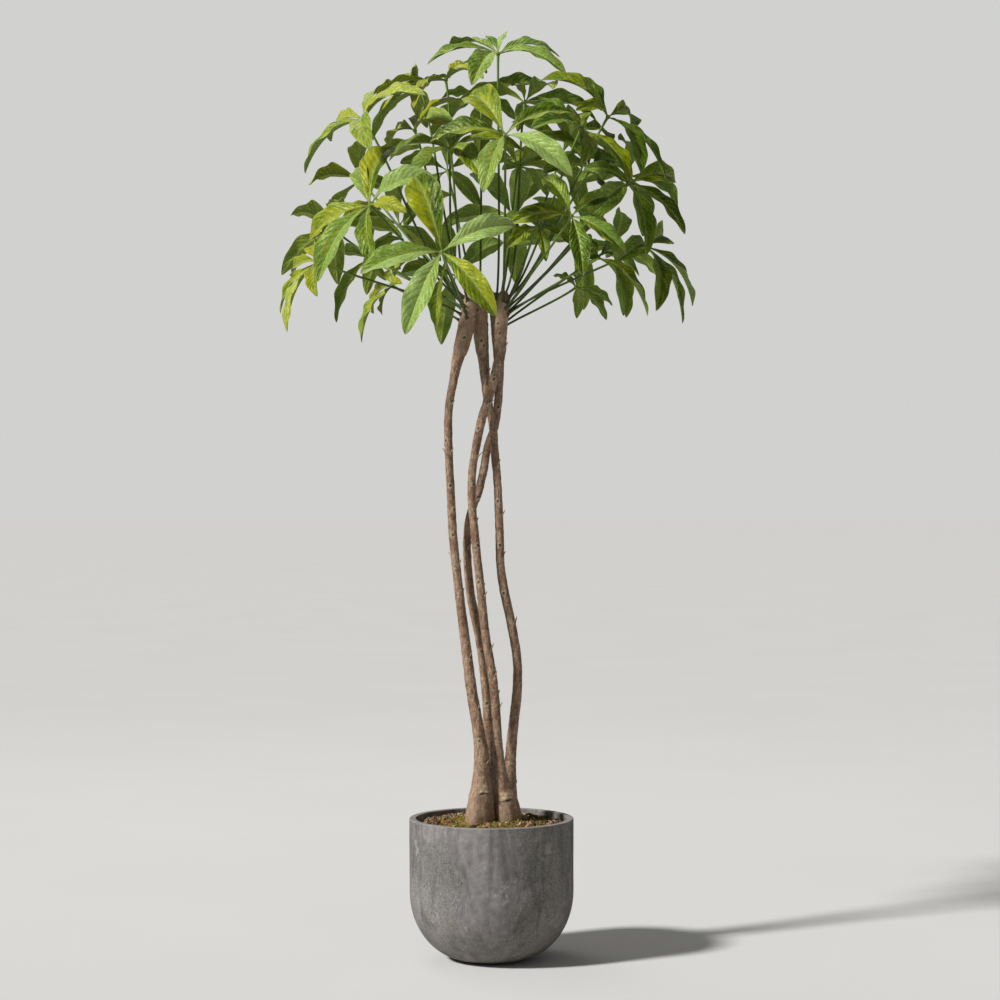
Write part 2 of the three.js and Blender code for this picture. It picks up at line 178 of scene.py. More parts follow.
def addNode(tree, kind, inputs=None, ramp=None, **settings):
    # one node: its settings, then each input as a value, a hex colour, or a link from a socket or from a
    # node's first output, then a ramp's stops. Inputs go by name or number: a Mix has its factor at 0 and
    # colours at 6 and 7, a Map Range its value at 0, its ends at 1 and 2 and what they become at 3 and 4
    node = tree.nodes.new("ShaderNode" + kind)
    for key, value in settings.items():
        setattr(node, key, value)
    for key, value in (inputs or {}).items():
        if isinstance(value, bpy.types.Node):
            value = value.outputs[0]
        if isinstance(value, bpy.types.NodeSocket):
            tree.links.new(value, node.inputs[key])
        else:
            node.inputs[key].default_value = linear(value) if isinstance(value, str) else value
    if ramp:
        stops = node.color_ramp.elements
        while len(stops) < len(ramp):
            stops.new(0.5)
        for stop, (place, value) in zip(stops, ramp):
            stop.position = place
            stop.color = linear(value) if isinstance(value, str) else (value, value, value, 1)
    return node


def newMaterial(name):
    # a material, what adds a node to its empty tree, and the object's own coordinates in metres
    material = bpy.data.materials.new(name)
    material.use_nodes = True
    material.node_tree.nodes.clear()
    add = functools.partial(addNode, material.node_tree)
    return material, add, add("TexCoord").outputs["Object"]


def markParts(add, name):
    # the three numbers that a shape carries at each point under this name
    mark = add("Attribute", attribute_name=name, attribute_type="GEOMETRY")
    return add("SeparateXYZ", {0: mark.outputs["Vector"]}).outputs


def finishSurface(add, colour, coats, roughness, relief, depth, **more):
    # the surface itself: a colour under its coats, the lowest first, each a factor, a colour and, if not
    # plain, a mode; then a bump of this depth in millimetres, from parts times their weights
    for factor, coat, *mode in coats:
        colour = add("Mix", {0: factor, 6: colour, 7: coat}, data_type="RGBA",
                     blend_type=mode[0] if mode else "MIX").outputs[2]
    height = 0.0
    for part, weight in relief:
        height = add("Math", {0: part, 1: weight, 2: height}, operation="MULTIPLY_ADD")
    bump = add("Bump", {"Height": height, "Strength": 1.0, "Distance": depth / metre})
    shader = add("BsdfPrincipled", {"Base Color": colour, "Roughness": roughness, "Normal": bump, **more})
    add("OutputMaterial", {"Surface": shader})


# the camera stands level, as far away as in the photo; places and sizes of the studio are in metres
view = {"lens": 85, "sensor": 36, "distance": 4319, "height": 838, "aside": 15.5}
studio = {
    "world": "#f0f0ee", "ambient": 0.2, "backdrop": 0.735,
    "keyPlace": (-3.3, -1.9, 3.9), "keyAngle": 7, "keyPower": 4.6,
    "fillPlace": (2.4, -3.2, 1.4), "fillSize": 2.4, "fillPower": 2.6,
    "topPlace": (-1.3, 2.0, 3.9), "topSize": 2.2, "topPower": 20,
    "aim": (0, 0, 1.0), "floorSize": 190, "floor": ("#cbcac7", "#d0cfcc"), "floorGrain": 0.1,
}


def aimedLight(name, kind, place, power, **settings):
    # a light that looks at the aim: heading and tilt are the arc tangents of the way there
    light = bpy.data.lights.new(name, kind)
    light.energy = power
    for key, value in settings.items():
        setattr(light, key, value)
    lamp = bpy.data.objects.new(name, light)
    lamp.location = place
    x, y, z = np.array(studio["aim"]) - np.array(place)
    tilt = math.atan2(z, math.hypot(x, y))
    lamp.rotation_euler = (math.pi / 2 + tilt, 0, math.atan2(y, x) - math.pi / 2)
    bpy.context.scene.collection.objects.link(lamp)


def setStage():
    # camera, world, three lights and a square floor
    camera = bpy.data.objects.new("camera", bpy.data.cameras.new("camera"))
    camera.data.lens = view["lens"]
    camera.data.sensor_width = view["sensor"]
    camera.location = (view["aside"] / metre, -view["distance"] / metre, view["height"] / metre)
    camera.rotation_euler = (math.pi / 2, 0, 0)
    bpy.context.scene.collection.objects.link(camera)
    bpy.context.scene.camera = camera

    world = bpy.data.worlds.new("studio")
    world.use_nodes = True
    sky = world.node_tree
    background = sky.nodes["Background"]
    background.inputs["Color"].default_value = linear(studio["world"])
    # a pale backdrop behind the plant, and a dimmer light from all round, so that shadows keep their depth
    seen = addNode(sky, "LightPath").outputs["Is Camera Ray"]
    glow = addNode(sky, "MapRange", {0: seen, 3: studio["ambient"], 4: studio["backdrop"]})
    sky.links.new(glow.outputs[0], background.inputs["Strength"])
    bpy.context.scene.world = world
    bpy.context.scene.view_settings.view_transform = "Standard"
    aimedLight("key", "SUN", studio["keyPlace"], studio["keyPower"], angle=math.radians(studio["keyAngle"]))
    for name in ("fill", "top"):
        aimedLight(name, "AREA", studio[name + "Place"], studio[name + "Power"], shape="DISK",
                   size=studio[name + "Size"])

    # painted studio floor: pale and matt, with a faint unevenness
    material, add, where = newMaterial("paintedFloor")
    cloudy = add("TexNoise", {"Vector": where, "Scale": 1.5, "Detail": 2.0})
    colour = add("ValToRGB", {0: cloudy}, ramp=list(enumerate(studio["floor"])))
    finishSurface(add, colour, [], 0.9, [(cloudy, 1.0)], studio["floorGrain"])
    reach = studio["floorSize"] / 2
    mesh = bpy.data.meshes.new("floor")
    mesh.from_pydata([(-reach, -reach, 0), (reach, -reach, 0), (reach, reach, 0), (-reach, reach, 0)],
                     [], [(0, 1, 2, 3)])
    mesh.materials.append(material)
    floor = bpy.data.objects.new("floor", mesh)
    bpy.context.scene.collection.objects.link(floor)
    print("stage set")


planter = {
    "radius": 150, "height": 257, "wall": 12, "floor": 14, "foot": 45, "belly": 125, "lip": 1.6,
    "sides": 200, "arcRows": 30, "wallRows": 46, "innerRows": 12, "footRows": 5, "lipRows": 5,
    "waver": 0.5, "waverCell": 60, "pits": 1.05, "pitCell": 5, "pitFrom": 0.45, "plainBelow": 30,
    "soilBelowRim": 14,
}
insideRadius = planter["radius"] - planter["wall"]
insideFoot = planter["foot"] - planter["wall"] / 2
soilEdge = planter["height"] - planter["soilBelowRim"]


def bowlArc(foot, radius, floor, count):
    # a quarter ellipse from the flat foot (foot, floor) up to the straight wall (radius, belly)
    angle = np.linspace(math.pi / 2, 0, count)
    return np.stack([foot + (radius - foot) * np.cos(angle),
                     floor + (planter["belly"] - floor) * (1 - np.sin(angle))], -1)


def turned(profile, sides):
    # a profile (count, 2) of radius and height, carried round +Z: (r cos a, r sin a, z)
    angle = around(sides)
    radius = profile[:, 0:1]
    return np.stack([radius * np.cos(angle), radius * np.sin(angle),
                     np.repeat(profile[:, 1:2], sides, axis=1)], -1)


def planterShape():
    # outside foot, bowl and wall, a lip with two small rounds, then the inside wall and bowl
    radius, height, lip = planter["radius"], planter["height"], planter["lip"]
    foot = planter["foot"] * np.linspace(0.05, 0.97, planter["footRows"])
    wall = np.linspace(planter["belly"], height - lip, planter["wallRows"])[1:]
    innerWall = np.linspace(height - lip, planter["belly"], planter["innerRows"] + 1)[1:]
    quarter = np.linspace(0, math.pi / 2, planter["lipRows"])
    outerLip = np.stack([radius - lip + lip * np.cos(quarter), height - lip + lip * np.sin(quarter)], -1)
    innerLip = np.stack([insideRadius + lip - lip * np.sin(quarter),
                         height - lip + lip * np.cos(quarter)], -1)
    profile = np.concatenate([
        np.stack([foot, 0 * foot], -1),
        bowlArc(planter["foot"], radius, 0, planter["arcRows"]),
        np.stack([radius + 0 * wall, wall], -1),
        outerLip[1:],
        outerLip[-1] + (innerLip[0] - outerLip[-1]) * np.linspace(0.2, 0.8, 3)[:, None],
        innerLip,
        np.stack([insideRadius + 0 * innerWall, innerWall], -1),
        bowlArc(insideFoot, insideRadius, planter["floor"], planter["arcRows"] // 2)[-2::-1],
        [[1.0, planter["floor"]]],
    ])
    rings = turned(profile, planter["sides"])
    # cast by hand: the skin wavers a little and has small pits; the underside stays flat
    outward = unit(rings * (1, 1, 0))
    free = np.clip(profile[:, 1] / planter["plainBelow"], 0, 1)[:, None]
    waver = planter["waver"] * lumps(rings, planter["waverCell"], 3)
    pits = planter["pits"] * np.clip(lumps(rings, planter["pitCell"], 8) - planter["pitFrom"], 0, 1)
    rings = rings + outward * ((waver - pits) * free)[..., None]
    print("planter", rings.shape[0] * rings.shape[1], "points")
    return tube(rings, {})


def castConcrete():
    # fibre cement cast in a mould: matt, mid to dark grey, a speckled open grain broken by smooth trowelled
    # patches with ragged edges, narrow stains that run down, pale bloom, a warmer foot, and a paler top to
    # the lip that is partly wear and partly a painted highlight where the light falls on it
    material, add, where = newMaterial("castConcrete")
    # grit of about 3 mm, coarser than the real sand so that it shows
    grit = add("TexNoise", {"Vector": where, "Scale": 340.0, "Detail": 7.0, "Roughness": 0.85})
    mottle = add("TexNoise", {"Vector": where, "Scale": 75.0, "Detail": 6.0, "Roughness": 0.7})
    openGrain = add("ValToRGB", {0: grit}, ramp=[(0.36, "#4a4845"), (0.64, "#95918b")])
    trowelled = add("ValToRGB", {0: mottle}, ramp=[(0.0, "#686463"), (1.0, "#8f8a88")])

    # smooth patches, one of them tall and at the front
    patches = add("TexNoise", {"Vector": where, "Scale": 7.5, "Detail": 10.0, "Roughness": 0.6,
                               "Distortion": 1.6})
    tallPatch = add("Mapping", {"Vector": where, "Location": (0.012, 0.15, -0.068),
                                "Scale": (1.0, 1.0, 0.42)})
    near = add("VectorMath", {0: tallPatch}, operation="LENGTH")
    front = add("MapRange", {0: near.outputs["Value"], 1: 0.02, 2: 0.075, 3: 0.16, 4: -0.03})
    patches = add("Math", {0: patches, 1: front}, operation="ADD")
    smooth = add("ValToRGB", {0: patches}, ramp=[(0.5, 0.0), (0.52, 1.0)])

    # shades that lie over both, then salt bloom, most of it low on the left
    clouds = add("ValToRGB", {0: mottle}, ramp=[(0.3, 0.74), (0.68, 1.16)])
    stretch = add("Mapping", {"Vector": where, "Scale": (1.0, 1.0, 0.2)})
    runs = add("TexNoise", {"Vector": stretch, "Scale": 30.0, "Detail": 8.0, "Roughness": 0.66,
                            "Distortion": 0.8})
    stain = add("ValToRGB", {0: runs}, ramp=[(0.38, 0.52), (0.52, 1.0)])
    broad = add("TexNoise", {"Vector": where, "Scale": 3.2, "Detail": 3.0, "Distortion": 0.6})
    areas = add("ValToRGB", {0: broad}, ramp=[(0.36, 0.78), (0.62, 1.2)])
    salt = add("TexNoise", {"Vector": where, "Scale": 21.0, "Detail": 9.0, "Roughness": 0.8})
    low = add("VectorMath", {0: where, 1: (-0.097, -0.112, 0.097)}, operation="DISTANCE")
    salty = add("MapRange", {0: low.outputs["Value"], 1: 0.005, 2: 0.03, 3: 0.14, 4: 0.0})
    salt = add("Math", {0: salt, 1: salty}, operation="ADD")
    bloom = add("ValToRGB", {0: salt}, ramp=[(0.58, 0.0), (0.68, 0.75)])
    height = add("SeparateXYZ", {0: where}).outputs["Z"]
    warm = add("MapRange", {0: height, 1: 0.13, 2: 0.0, 4: 0.35})
    # the top of the lip paler: partly wear, partly a painted highlight on the face the light falls on
    lipWearAndHighlight = add("MapRange", {0: height, 1: (planter["height"] - 1.5) / metre,
                            2: planter["height"] / metre, 4: 0.5})
    coats = [(smooth, trowelled), (0.9, clouds, "MULTIPLY"), (0.8, stain, "MULTIPLY"),
             (1.0, areas, "MULTIPLY"), (bloom, "#aaa6a0"), (warm, "#655d52"), (lipWearAndHighlight, "#97938e")]
    rough = add("MapRange", {0: smooth, 3: 0.93, 4: 0.78})
    flatter = add("MapRange", {0: smooth, 3: 1.0, 4: 0.35})
    finishSurface(add, openGrain, coats, rough, [(grit, flatter), (mottle, 0.8)], 1.0)
    return material


# Each centre line, given as x, y, z and the radius there, from the head down.
trunkRows = {
    "trunk_left": [
        (-39, -14, 1215, 9), (-39, -14, 1203, 12.8), (-41, -14, 1181, 14.1), (-54, -14, 1121, 14.1),
        (-61, -14, 1097, 10.9), (-70, -12, 1053, 7.8), (-78, -10, 1002, 7.4), (-79, -10, 960, 7.4),
        (-75, -10, 865, 7.4), (-70, -12, 772, 7.8), (-60, -15, 678, 8.2), (-48, -20, 583, 9),
        (-36, -26, 491, 10), (-24, -30, 422, 11), (-18, -33, 375, 13.6), (-18, -35, 330, 17.2),
        (-20, -36, 296, 23), (-23, -36, 259, 26.5), (-23, -36, 216, 21),
    ],
    "trunk_front": [
        (22, -8, 1216, 8), (22, -8, 1206, 11), (17, -8, 1147, 11.4), (15, -10, 1101, 10),
        (3, -12, 1053, 8.2), (-7, -14, 1019, 8.2), (-18, -14, 984, 8), (-28, -13, 936, 7.5),
        (-35, -12, 891, 7.4), (-36, -12, 838, 7.4), (-30, -12, 772, 7.4), (-20, -12, 677, 7.8),
        (-10, -13, 586, 7.8), (2, -15, 514, 8.2), (7, -16, 466, 8.2), (11, -18, 397, 9.1),
        (15, -20, 352, 11), (19, -20, 315, 16.4), (24, -20, 294, 21.5), (29, -20, 261, 24),
        (29, -20, 213, 19),
    ],
    "trunk_rear": [
        (8, 24, 1216, 8), (8, 24, 1204, 11), (11, 24, 1149, 12), (13, 25, 1110, 10.1),
        (14, 27, 1055, 7.8), (11, 28, 1009, 7.4), (4, 28, 967, 7.4), (-7, 27, 937, 7.4),
        (-15, 20, 891, 7.4), (-24, 15, 853, 7.3), (-40, 14, 807, 7.3), (-45, 14, 765, 7.3),
        (-40, 14, 677, 7.8), (-32, 15, 631, 8.3), (-22, 15, 585, 8.3), (-16, 16, 544, 8.3),
        (-8, 18, 463, 8.7), (-5, 24, 382, 10.1), (-8, 30, 322, 13.6), (-11, 34, 287, 17.6),
        (-12, 35, 254, 19.6), (-12, 35, 206, 17),
    ],
    "trunk_right": [
        (-22, 10, 1216, 9), (-22, 10, 1204, 13.5), (-22, 10, 1183, 14.6), (-18, 10, 1122, 12.8),
        (-15, 10, 1098, 10.5), (-11, 8, 1054, 8.2), (-6, 8, 1014, 7.8), (1, 8, 985, 7.6),
        (5, 9, 937, 7.4), (11, 10, 866, 7.4), (15, 10, 772, 7.8), (16, 11, 724, 7.8),
        (22, 12, 677, 8.3), (32, 14, 631, 8.3), (41, 16, 585, 8.3), (47, 18, 544, 8.3),
        (47, 22, 487, 8.7), (42, 26, 439, 9.2), (37, 31, 392, 9.6), (34, 37, 344, 11.2),
        (31, 44, 303, 15), (30, 50, 253, 18.4), (30, 50, 205, 16),
    ],
}
# Old leaf scars, listed: height, bearing round the trunk in degrees (-90 faces the front) and kind.
trunkScars = {
    "trunk_left": [
        (1013, -50, "spur"), (946, -130, "eye"), (924, -50, "spur"), (864, -90, "eye"), (820, -50, "eye"),
        (774, -90, "eye"), (719, -45, "spur"), (661, -90, "ring"), (551, -55, "spur"), (484, -140, "eye"),
        (456, -50, "spur"), (401, -95, "eye"), (359, -50, "spur"), (311, -70, "ledge"),
    ],
    "trunk_front": [
        (1141, -100, "eye"), (1115, -40, "spur"), (1058, -90, "eye"), (1013, -50, "spur"), (968, -110, "eye"),
        (917, -30, "spur"), (862, -90, "ring"), (755, -60, "eye"), (688, -110, "eye"), (662, -40, "spur"),
        (601, -70, "ring"), (565, -35, "spur"), (517, -50, "spur"), (460, -20, "spur"), (400, -80, "ring"),
        (297, -75, "ledge"),
    ],
    "trunk_rear": [
        (1009, -80, "eye"), (838, -60, "spur"), (752, -50, "spur"), (560, -90, "eye"), (465, -90, "eye"),
        (340, 60, "ledge"),
    ],
    "trunk_right": [
        (1129, -90, "eye"), (1070, -40, "spur"), (902, -50, "spur"), (835, -100, "eye"), (810, -40, "spur"),
        (755, -90, "eye"), (717, -100, "ring"), (667, -100, "eye"), (614, -30, "spur"), (440, -90, "ring"),
        (355, -60, "ring"), (318, 40, "ledge"),
    ],
}
trunk = {
    "sides": 40, "ringStep": 1.7, "flareHeight": 120, "flareLobes": 3, "flareDepth": 0.09,
    "grain": 0.5, "grainCell": 2.2, "crumbs": 0.2, "crumbCell": 3.2, "knobs": 0.7, "knobCell": 8,
    "headFrom": 1095, "domeHeight": 4, "domeTurns": (25, 50, 72, 86),
    "backScarFrom": 345, "backScarEvery": 63, "headScarEvery": 13,
    "spurLength": 12.0, "spurRadius": 2.1, "nub": (60, -6, 252), "nubSize": (7, 7, 11),
}
# how far each scar's lip stands out and its pit or groove goes in
scar = {
    "collar": 0.9, "collarPit": 0.8, "eyeWide": 3.2, "eyeTall": 3.9, "eyeLip": 1.3, "eyePit": 1.1,
    "ringLip": 0.7, "ringGroove": 0.4, "ledgeLip": 3.6, "ledgeGroove": 1.4,
    "ledgeSteps": ((0, 1), (6.5, 0.45)),
}


def trunkLine(rows, share):
    # centripetal Catmull-Rom from the buried end up: between two rows a cubic whose end slopes weigh the
    # neighbouring chords by the square root of their lengths. Returns places, directions and radii.
    rows = np.array(rows[::-1], float)
    rows = np.concatenate([2 * rows[:1] - rows[1:2], rows, 2 * rows[-1:] - rows[-2:-1]])
    place = np.asarray(share) * (len(rows) - 3)
    low = np.minimum(place.astype(int), len(rows) - 4)
    w = (place - low)[:, None]
    p0, p1, p2, p3 = (rows[low + k] for k in range(4))
    d0, d1, d2 = (np.linalg.norm((b - a)[:, :3], axis=1)[:, None] ** 0.5
                  for a, b in ((p0, p1), (p1, p2), (p2, p3)))
    leave = ((p1 - p0) / d0 - (p2 - p0) / (d0 + d1) + (p2 - p1) / d1) * d1
    arrive = ((p2 - p1) / d1 - (p3 - p1) / (d1 + d2) + (p3 - p2) / d2) * d1
    at = (2 * w**3 - 3 * w**2 + 1) * p1 + (w**3 - 2 * w**2 + w) * leave \
        + (3 * w**2 - 2 * w**3) * p2 + (w**3 - w**2) * arrive
    slope = (6 * w**2 - 6 * w) * (p1 - p2) + (3 * w**2 - 4 * w + 1) * leave + (3 * w**2 - 2 * w) * arrive
    return at[:, :3], unit(slope[:, :3]), at[:, 3]

def spur(foot, outward, along, length):
    # a blunt thorn: rings that shrink along a line leaning outward and up
    lean = unit(outward * 0.62 + along * 0.78)
    across = unit(np.cross(lean, outward))
    other = np.cross(lean, across)
    middle = foot + lean * (np.array([0.0, 0.3, 0.6, 0.85, 1.0]) * length)[:, None]
    size = trunk["spurRadius"] * np.array([1.25, 1.0, 0.72, 0.5, 0.2])
    rings = middle[:, None] + size[:, None, None] * circled(around(7), across, 0.6 * other)
    mark = np.zeros(rings.shape)
    mark[..., 0] = np.array([0.1, 0.35, 0.4, 0.3, 0.1])[:, None]
    mark[..., 1] = np.array([0.25, 0.1, 0.05, 0.3, 0.7])[:, None]
    return tube(rings, {"bark": mark})


def rootNub():
    # a woody stub at the foot of the front trunk: an upright ellipsoid with dents
    knob = ball(np.linspace(-0.5, 1.5, 12), 18)
    rings = np.array(trunk["nub"]) + knob * trunk["nubSize"]
    rings = rings + 1.3 * knob * lumps(rings, 5, 61)[..., None]
    return tube(rings, {"bark": np.zeros(rings.shape) + (0.1, 0.25, 1)})


def scarRelief(kind, z, turn, bearing, radius, rings):
    # how far a scar lifts the bark, how pale it makes it and how much painted shade it gets in its pits,
    # grooves and shadows: sums of bells of the distance aside (angle away from it times the radius)
    # and of the lift above it, frayed by chance lumps
    aside = np.angle(np.exp(1j * (bearing - turn))) * radius
    lift = rings[..., 2] - z
    if kind == "spur":
        # a collar that runs out below, and a pit above the thorn; beside and above it, a painted shadow
        rise = scar["collar"] * hump(aside, 2.6) * np.where(lift > 0, hump(lift, 2.0), hump(lift, 5.5))
        rise = rise - scar["collarPit"] * hump(aside, 1.8) * hump(lift - 4.5, 1.8)
        pale = 0.6 * hump(aside + 1, 1.8) * hump(lift + 1, 3)
        darkToneAndShade = 1.4 * hump(aside - 1.2, 2.8) * hump(lift - 3, 3.8)
    elif kind == "eye":
        # a chipped oval lip round a pit, with painted shade in the pit
        ringed = np.hypot(aside / scar["eyeWide"], lift / scar["eyeTall"])
        chipped = 0.6 + 0.4 * lumps(rings, 2.2, z)
        rise = scar["eyeLip"] * hump(ringed - 0.9, 0.5) * chipped - scar["eyePit"] * hump(ringed, 0.5)
        pale = 0.75 * hump(ringed - 1.1, 0.45) * chipped
        darkToneAndShade = 1.4 * hump(np.hypot((aside - 0.3) / 2.2, (lift - 0.4) / 2.8), 0.85)
    elif kind == "ring":
        # a broken, wavy ridge part of the way round, with painted shade in the groove above it
        wave = lift + 1.4 * np.sin(bearing * 2 + z) + 1.2 * lumps(rings, 4, z)
        broken = np.clip(0.3 + 0.5 * np.cos(bearing - turn) + 0.5 * lumps(rings, 5, z + 3), 0, 1)
        rise = broken * (scar["ringLip"] * hump(wave, 1.3) - scar["ringGroove"] * hump(wave - 2.6, 1.2))
        pale = 0.45 * broken * hump(wave, 1.1)
        darkToneAndShade = 0.5 * broken * hump(wave - 2.4, 1.1)
    else:
        # a big torn ledge with a smaller one above it, each with a painted shadow under its lip
        rise, pale, darkToneAndShade = 0, 0, 0
        wave = lift + 0.016 * aside**2 + 2.8 * lumps(rings, 6, z) + 1.6 * lumps(rings, 2.6, z + 1)
        shown = np.clip(1.6 - np.abs(aside) / 8.5, 0, 1) * (0.7 + 0.5 * lumps(rings, 3.5, z + 2))
        for at, size in scar["ledgeSteps"]:
            lip = np.where(wave > at, hump(wave - at, 3.6), hump(wave - at, 1.1))
            groove = hump(wave - at + 3, 1.6)
            rise = rise + shown * size * (scar["ledgeLip"] * lip - scar["ledgeGroove"] * groove)
            edge = np.where(wave > at, hump(wave - at, 4.2), hump(wave - at, 1.6))
            pale = pale + shown * size * 1.5 * edge
            darkToneAndShade = darkToneAndShade + shown * size * 1.1 * hump(wave - at + 3.2, 1.4)
    return np.stack([rise, pale, darkToneAndShade])


def trunkShape(name, number):
    # rings an even step apart along the centre line: the radius there times the lobes of the flared base,
    # then the bark lifts it, and a low dome closes the head
    rows = trunkRows[name]
    fine = np.linspace(0, 1, 1500)
    places = trunkLine(rows, fine)[0]
    run = np.concatenate([[0], np.cumsum(np.linalg.norm(np.diff(places, axis=0), axis=1))])
    count = int(run[-1] / trunk["ringStep"])
    share = np.interp(np.linspace(0, run[-1], count), run, fine)
    centre, along, radius = trunkLine(rows, share)
    across = unit(np.cross((0, 1, 0), along))
    other = np.cross(along, across)
    angle = around(trunk["sides"])
    flare = np.clip(1 - (centre[:, 2] - soilEdge) / trunk["flareHeight"], 0, 1)[:, None]
    lobes = 1 + flare * (trunk["flareDepth"] * np.cos(trunk["flareLobes"] * angle)
                         + 0.03 * np.cos(7 * angle + number * 2 + centre[:, 2:3] / 40))
    outward = circled(angle, across, other)
    rings = centre[:, None] + outward * (radius[:, None] * lobes)[..., None]
    bearing = np.arctan2(outward[..., 1], outward[..., 0])
    head = np.clip((rings[..., 2] - trunk["headFrom"]) / 40, 0, 1)

    # bark: fine upright fissures, soft knobs that grow coarser on the head and the base
    tall = rings * np.array([1, 1, 0.22])
    rise = trunk["grain"] * lumps(tall, trunk["grainCell"], number + 5)
    rise += trunk["crumbs"] * lumps(rings, trunk["crumbCell"], number + 9)
    rise += (0.25 + 0.5 * head + 0.6 * flare) * trunk["knobs"] * lumps(rings, trunk["knobCell"], number + 2)
    pale = 0.25 * np.clip(lumps(rings, 5, number + 40), 0, 1)
    darkToneAndShade = 0.15 * np.clip(lumps(rings, 9, number + 70), 0, 1)
    bark = np.stack([rise, pale, darkToneAndShade])

    # scars: the listed ones, then plainer ones on the side away from them and up the head
    scars = list(trunkScars[name])
    for k, z in enumerate(np.arange(trunk["backScarFrom"], trunk["headFrom"], trunk["backScarEvery"])):
        scars.append((z + 20 * chance(k, number), 90 + 110 * (chance(number, k) - 0.5),
                      ("eye", "spur", "ring")[int(3 * chance(k + 3, number + 1))]))
    for k, z in enumerate(np.arange(trunk["headFrom"] + 12, rows[0][2] - 14, trunk["headScarEvery"])):
        scars.append((z, (k * 137.5 + number * 50) % 360, "eye"))
    spurs = []
    for z, degrees, kind in scars:
        turn = math.radians(degrees)
        local = np.interp(z, centre[:, 2], radius)
        bark += scarRelief(kind, z, turn, bearing, local, rings)
        if kind == "spur":
            row = np.argmin(np.abs(centre[:, 2] - z))
            facing = unit(np.cos(turn) * across[row] + np.sin(turn) * other[row])
            length = trunk["spurLength"] * (0.8 + 0.4 * chance(z, number))
            spurs.append(spur(centre[row] + facing * (local - 0.8), facing, along[row], length))
    rise, pale, darkToneAndShade = bark
    rings = rings + outward * rise[..., None]
    turn = np.radians(trunk["domeTurns"])[:, None, None]
    dome = centre[-1] + (rings[-1] - centre[-1]) * np.cos(turn) + up * trunk["domeHeight"] * np.sin(turn)
    dome = dome + 0.6 * up * lumps(dome, 4, number)[..., None]
    # marks: pale, then the darker tone, which holds the bark's own dark patches and the scars' painted shade,
    # then how old the bark is at the base and the head
    marks = np.stack([np.clip(pale, 0, 1), np.clip(darkToneAndShade, 0, 1), np.maximum(flare, head)], -1)
    rings = np.concatenate([rings, dome])
    marks = np.concatenate([marks, np.repeat(marks[-1:], len(dome), axis=0)])
    if name == "trunk_front":
        spurs.append(rootNub())
    print(name, rings.shape[0] * rings.shape[1], "points,", len(spurs), "spurs")
    return joined([tube(rings, {"bark": marks})] + spurs)


def youngBark():
    # thin young bark: tan with rust-coloured clouds, matt and finely granular, with upright fissures, pale
    # corky specks, a paler base and head, and the light lips of old leaf scars, with painted shade in their
    # pits and grooves, beside their thorns and under their ledges
    material, add, where = newMaterial("youngBark")
    pale, darkToneAndShade, old = markParts(add, "bark")
    # fissures, grains and flecks of about 3 mm, coarser than the real ones so that they show
    tall = add("Mapping", {"Vector": where, "Scale": (1.0, 1.0, 0.22)})
    fissures = add("TexNoise", {"Vector": tall, "Scale": 330.0, "Detail": 5.0, "Roughness": 0.75})
    grains = add("TexNoise", {"Vector": where, "Scale": 340.0, "Detail": 4.0, "Roughness": 0.8})
    long = add("Mapping", {"Vector": where, "Scale": (1.0, 1.0, 0.4)})
    clouds = add("TexNoise", {"Vector": long, "Scale": 60.0, "Detail": 4.0, "Roughness": 0.6})
    tones = add("ValToRGB", {0: clouds},
                ramp=[(0.3, "#6b4b38"), (0.45, "#81624b"), (0.58, "#988067"), (0.7, "#7b503b")])
    lines = add("ValToRGB", {0: fissures}, ramp=[(0.38, 0.5), (0.58, 1.25)])
    sand = add("ValToRGB", {0: grains}, ramp=[(0.42, 0.45), (0.56, 1.32)])
    corky = add("MapRange", {0: old, 3: 0.0, 4: 0.4})
    flecks = add("TexVoronoi", {"Vector": where, "Scale": 300.0})
    fleckMask = add("ValToRGB", {0: flecks.outputs["Distance"]}, ramp=[(0.14, 1.0), (0.3, 0.0)])
    some = add("MapRange", {0: old, 3: 0.16, 4: 0.65})
    fleck = add("Math", {0: fleckMask, 1: some}, operation="MULTIPLY")
    # the darkest coat is the bark's own darker patches and thorn tips, together with the painted shade of the
    # scars
    coats = [(0.9, lines, "MULTIPLY"), (0.85, sand, "MULTIPLY"), (corky, "#a68a72"), (fleck, "#b8a087"),
             (pale, "#c0ae8a"), (darkToneAndShade, "#25180f")]
    relief = [(fissures, 1.0), (grains, 1.0), (fleckMask, 0.4)]
    finishSurface(add, tones, coats, 0.6, relief, 0.9, **{"Specular IOR Level": 0.42})
    return material


# Loose bits lie in an ellipse, given by its middle and half widths, and inside the rim.
allOver = ((0, 0), (insideRadius - 4, insideRadius - 4))
soil = {
    "rings": 84, "sides": 190, "mound": 15, "gap": 0.3, "arcRows": 12,
    "lumps": ((1.5, 24), (1.2, 8), (0.7, 3)),  # height and cell of each size
    "spikes": 620, "perTuft": 22, "tuftRadius": 4.5, "spikeLength": (2.6, 6.0), "spikeWidth": 0.75,
    "tuftPlace": ((94, 22), (30, 46)),
}
barkBits = {"count": 430, "sizes": (2.0, 6.0), "seed": 101, "place": allOver, "nearest": 0.45,
            "flatness": 0.6}
mossBits = {"count": 1400, "sizes": (1.2, 2.6), "seed": 201, "place": allOver, "nearest": 0.1,
            "flatness": 0.85}
stones = {"count": 46, "sizes": (2.2, 4.4), "seed": 401, "place": ((-78, 66), (52, 40)), "rim": 8,
          "flatness": 0.7}
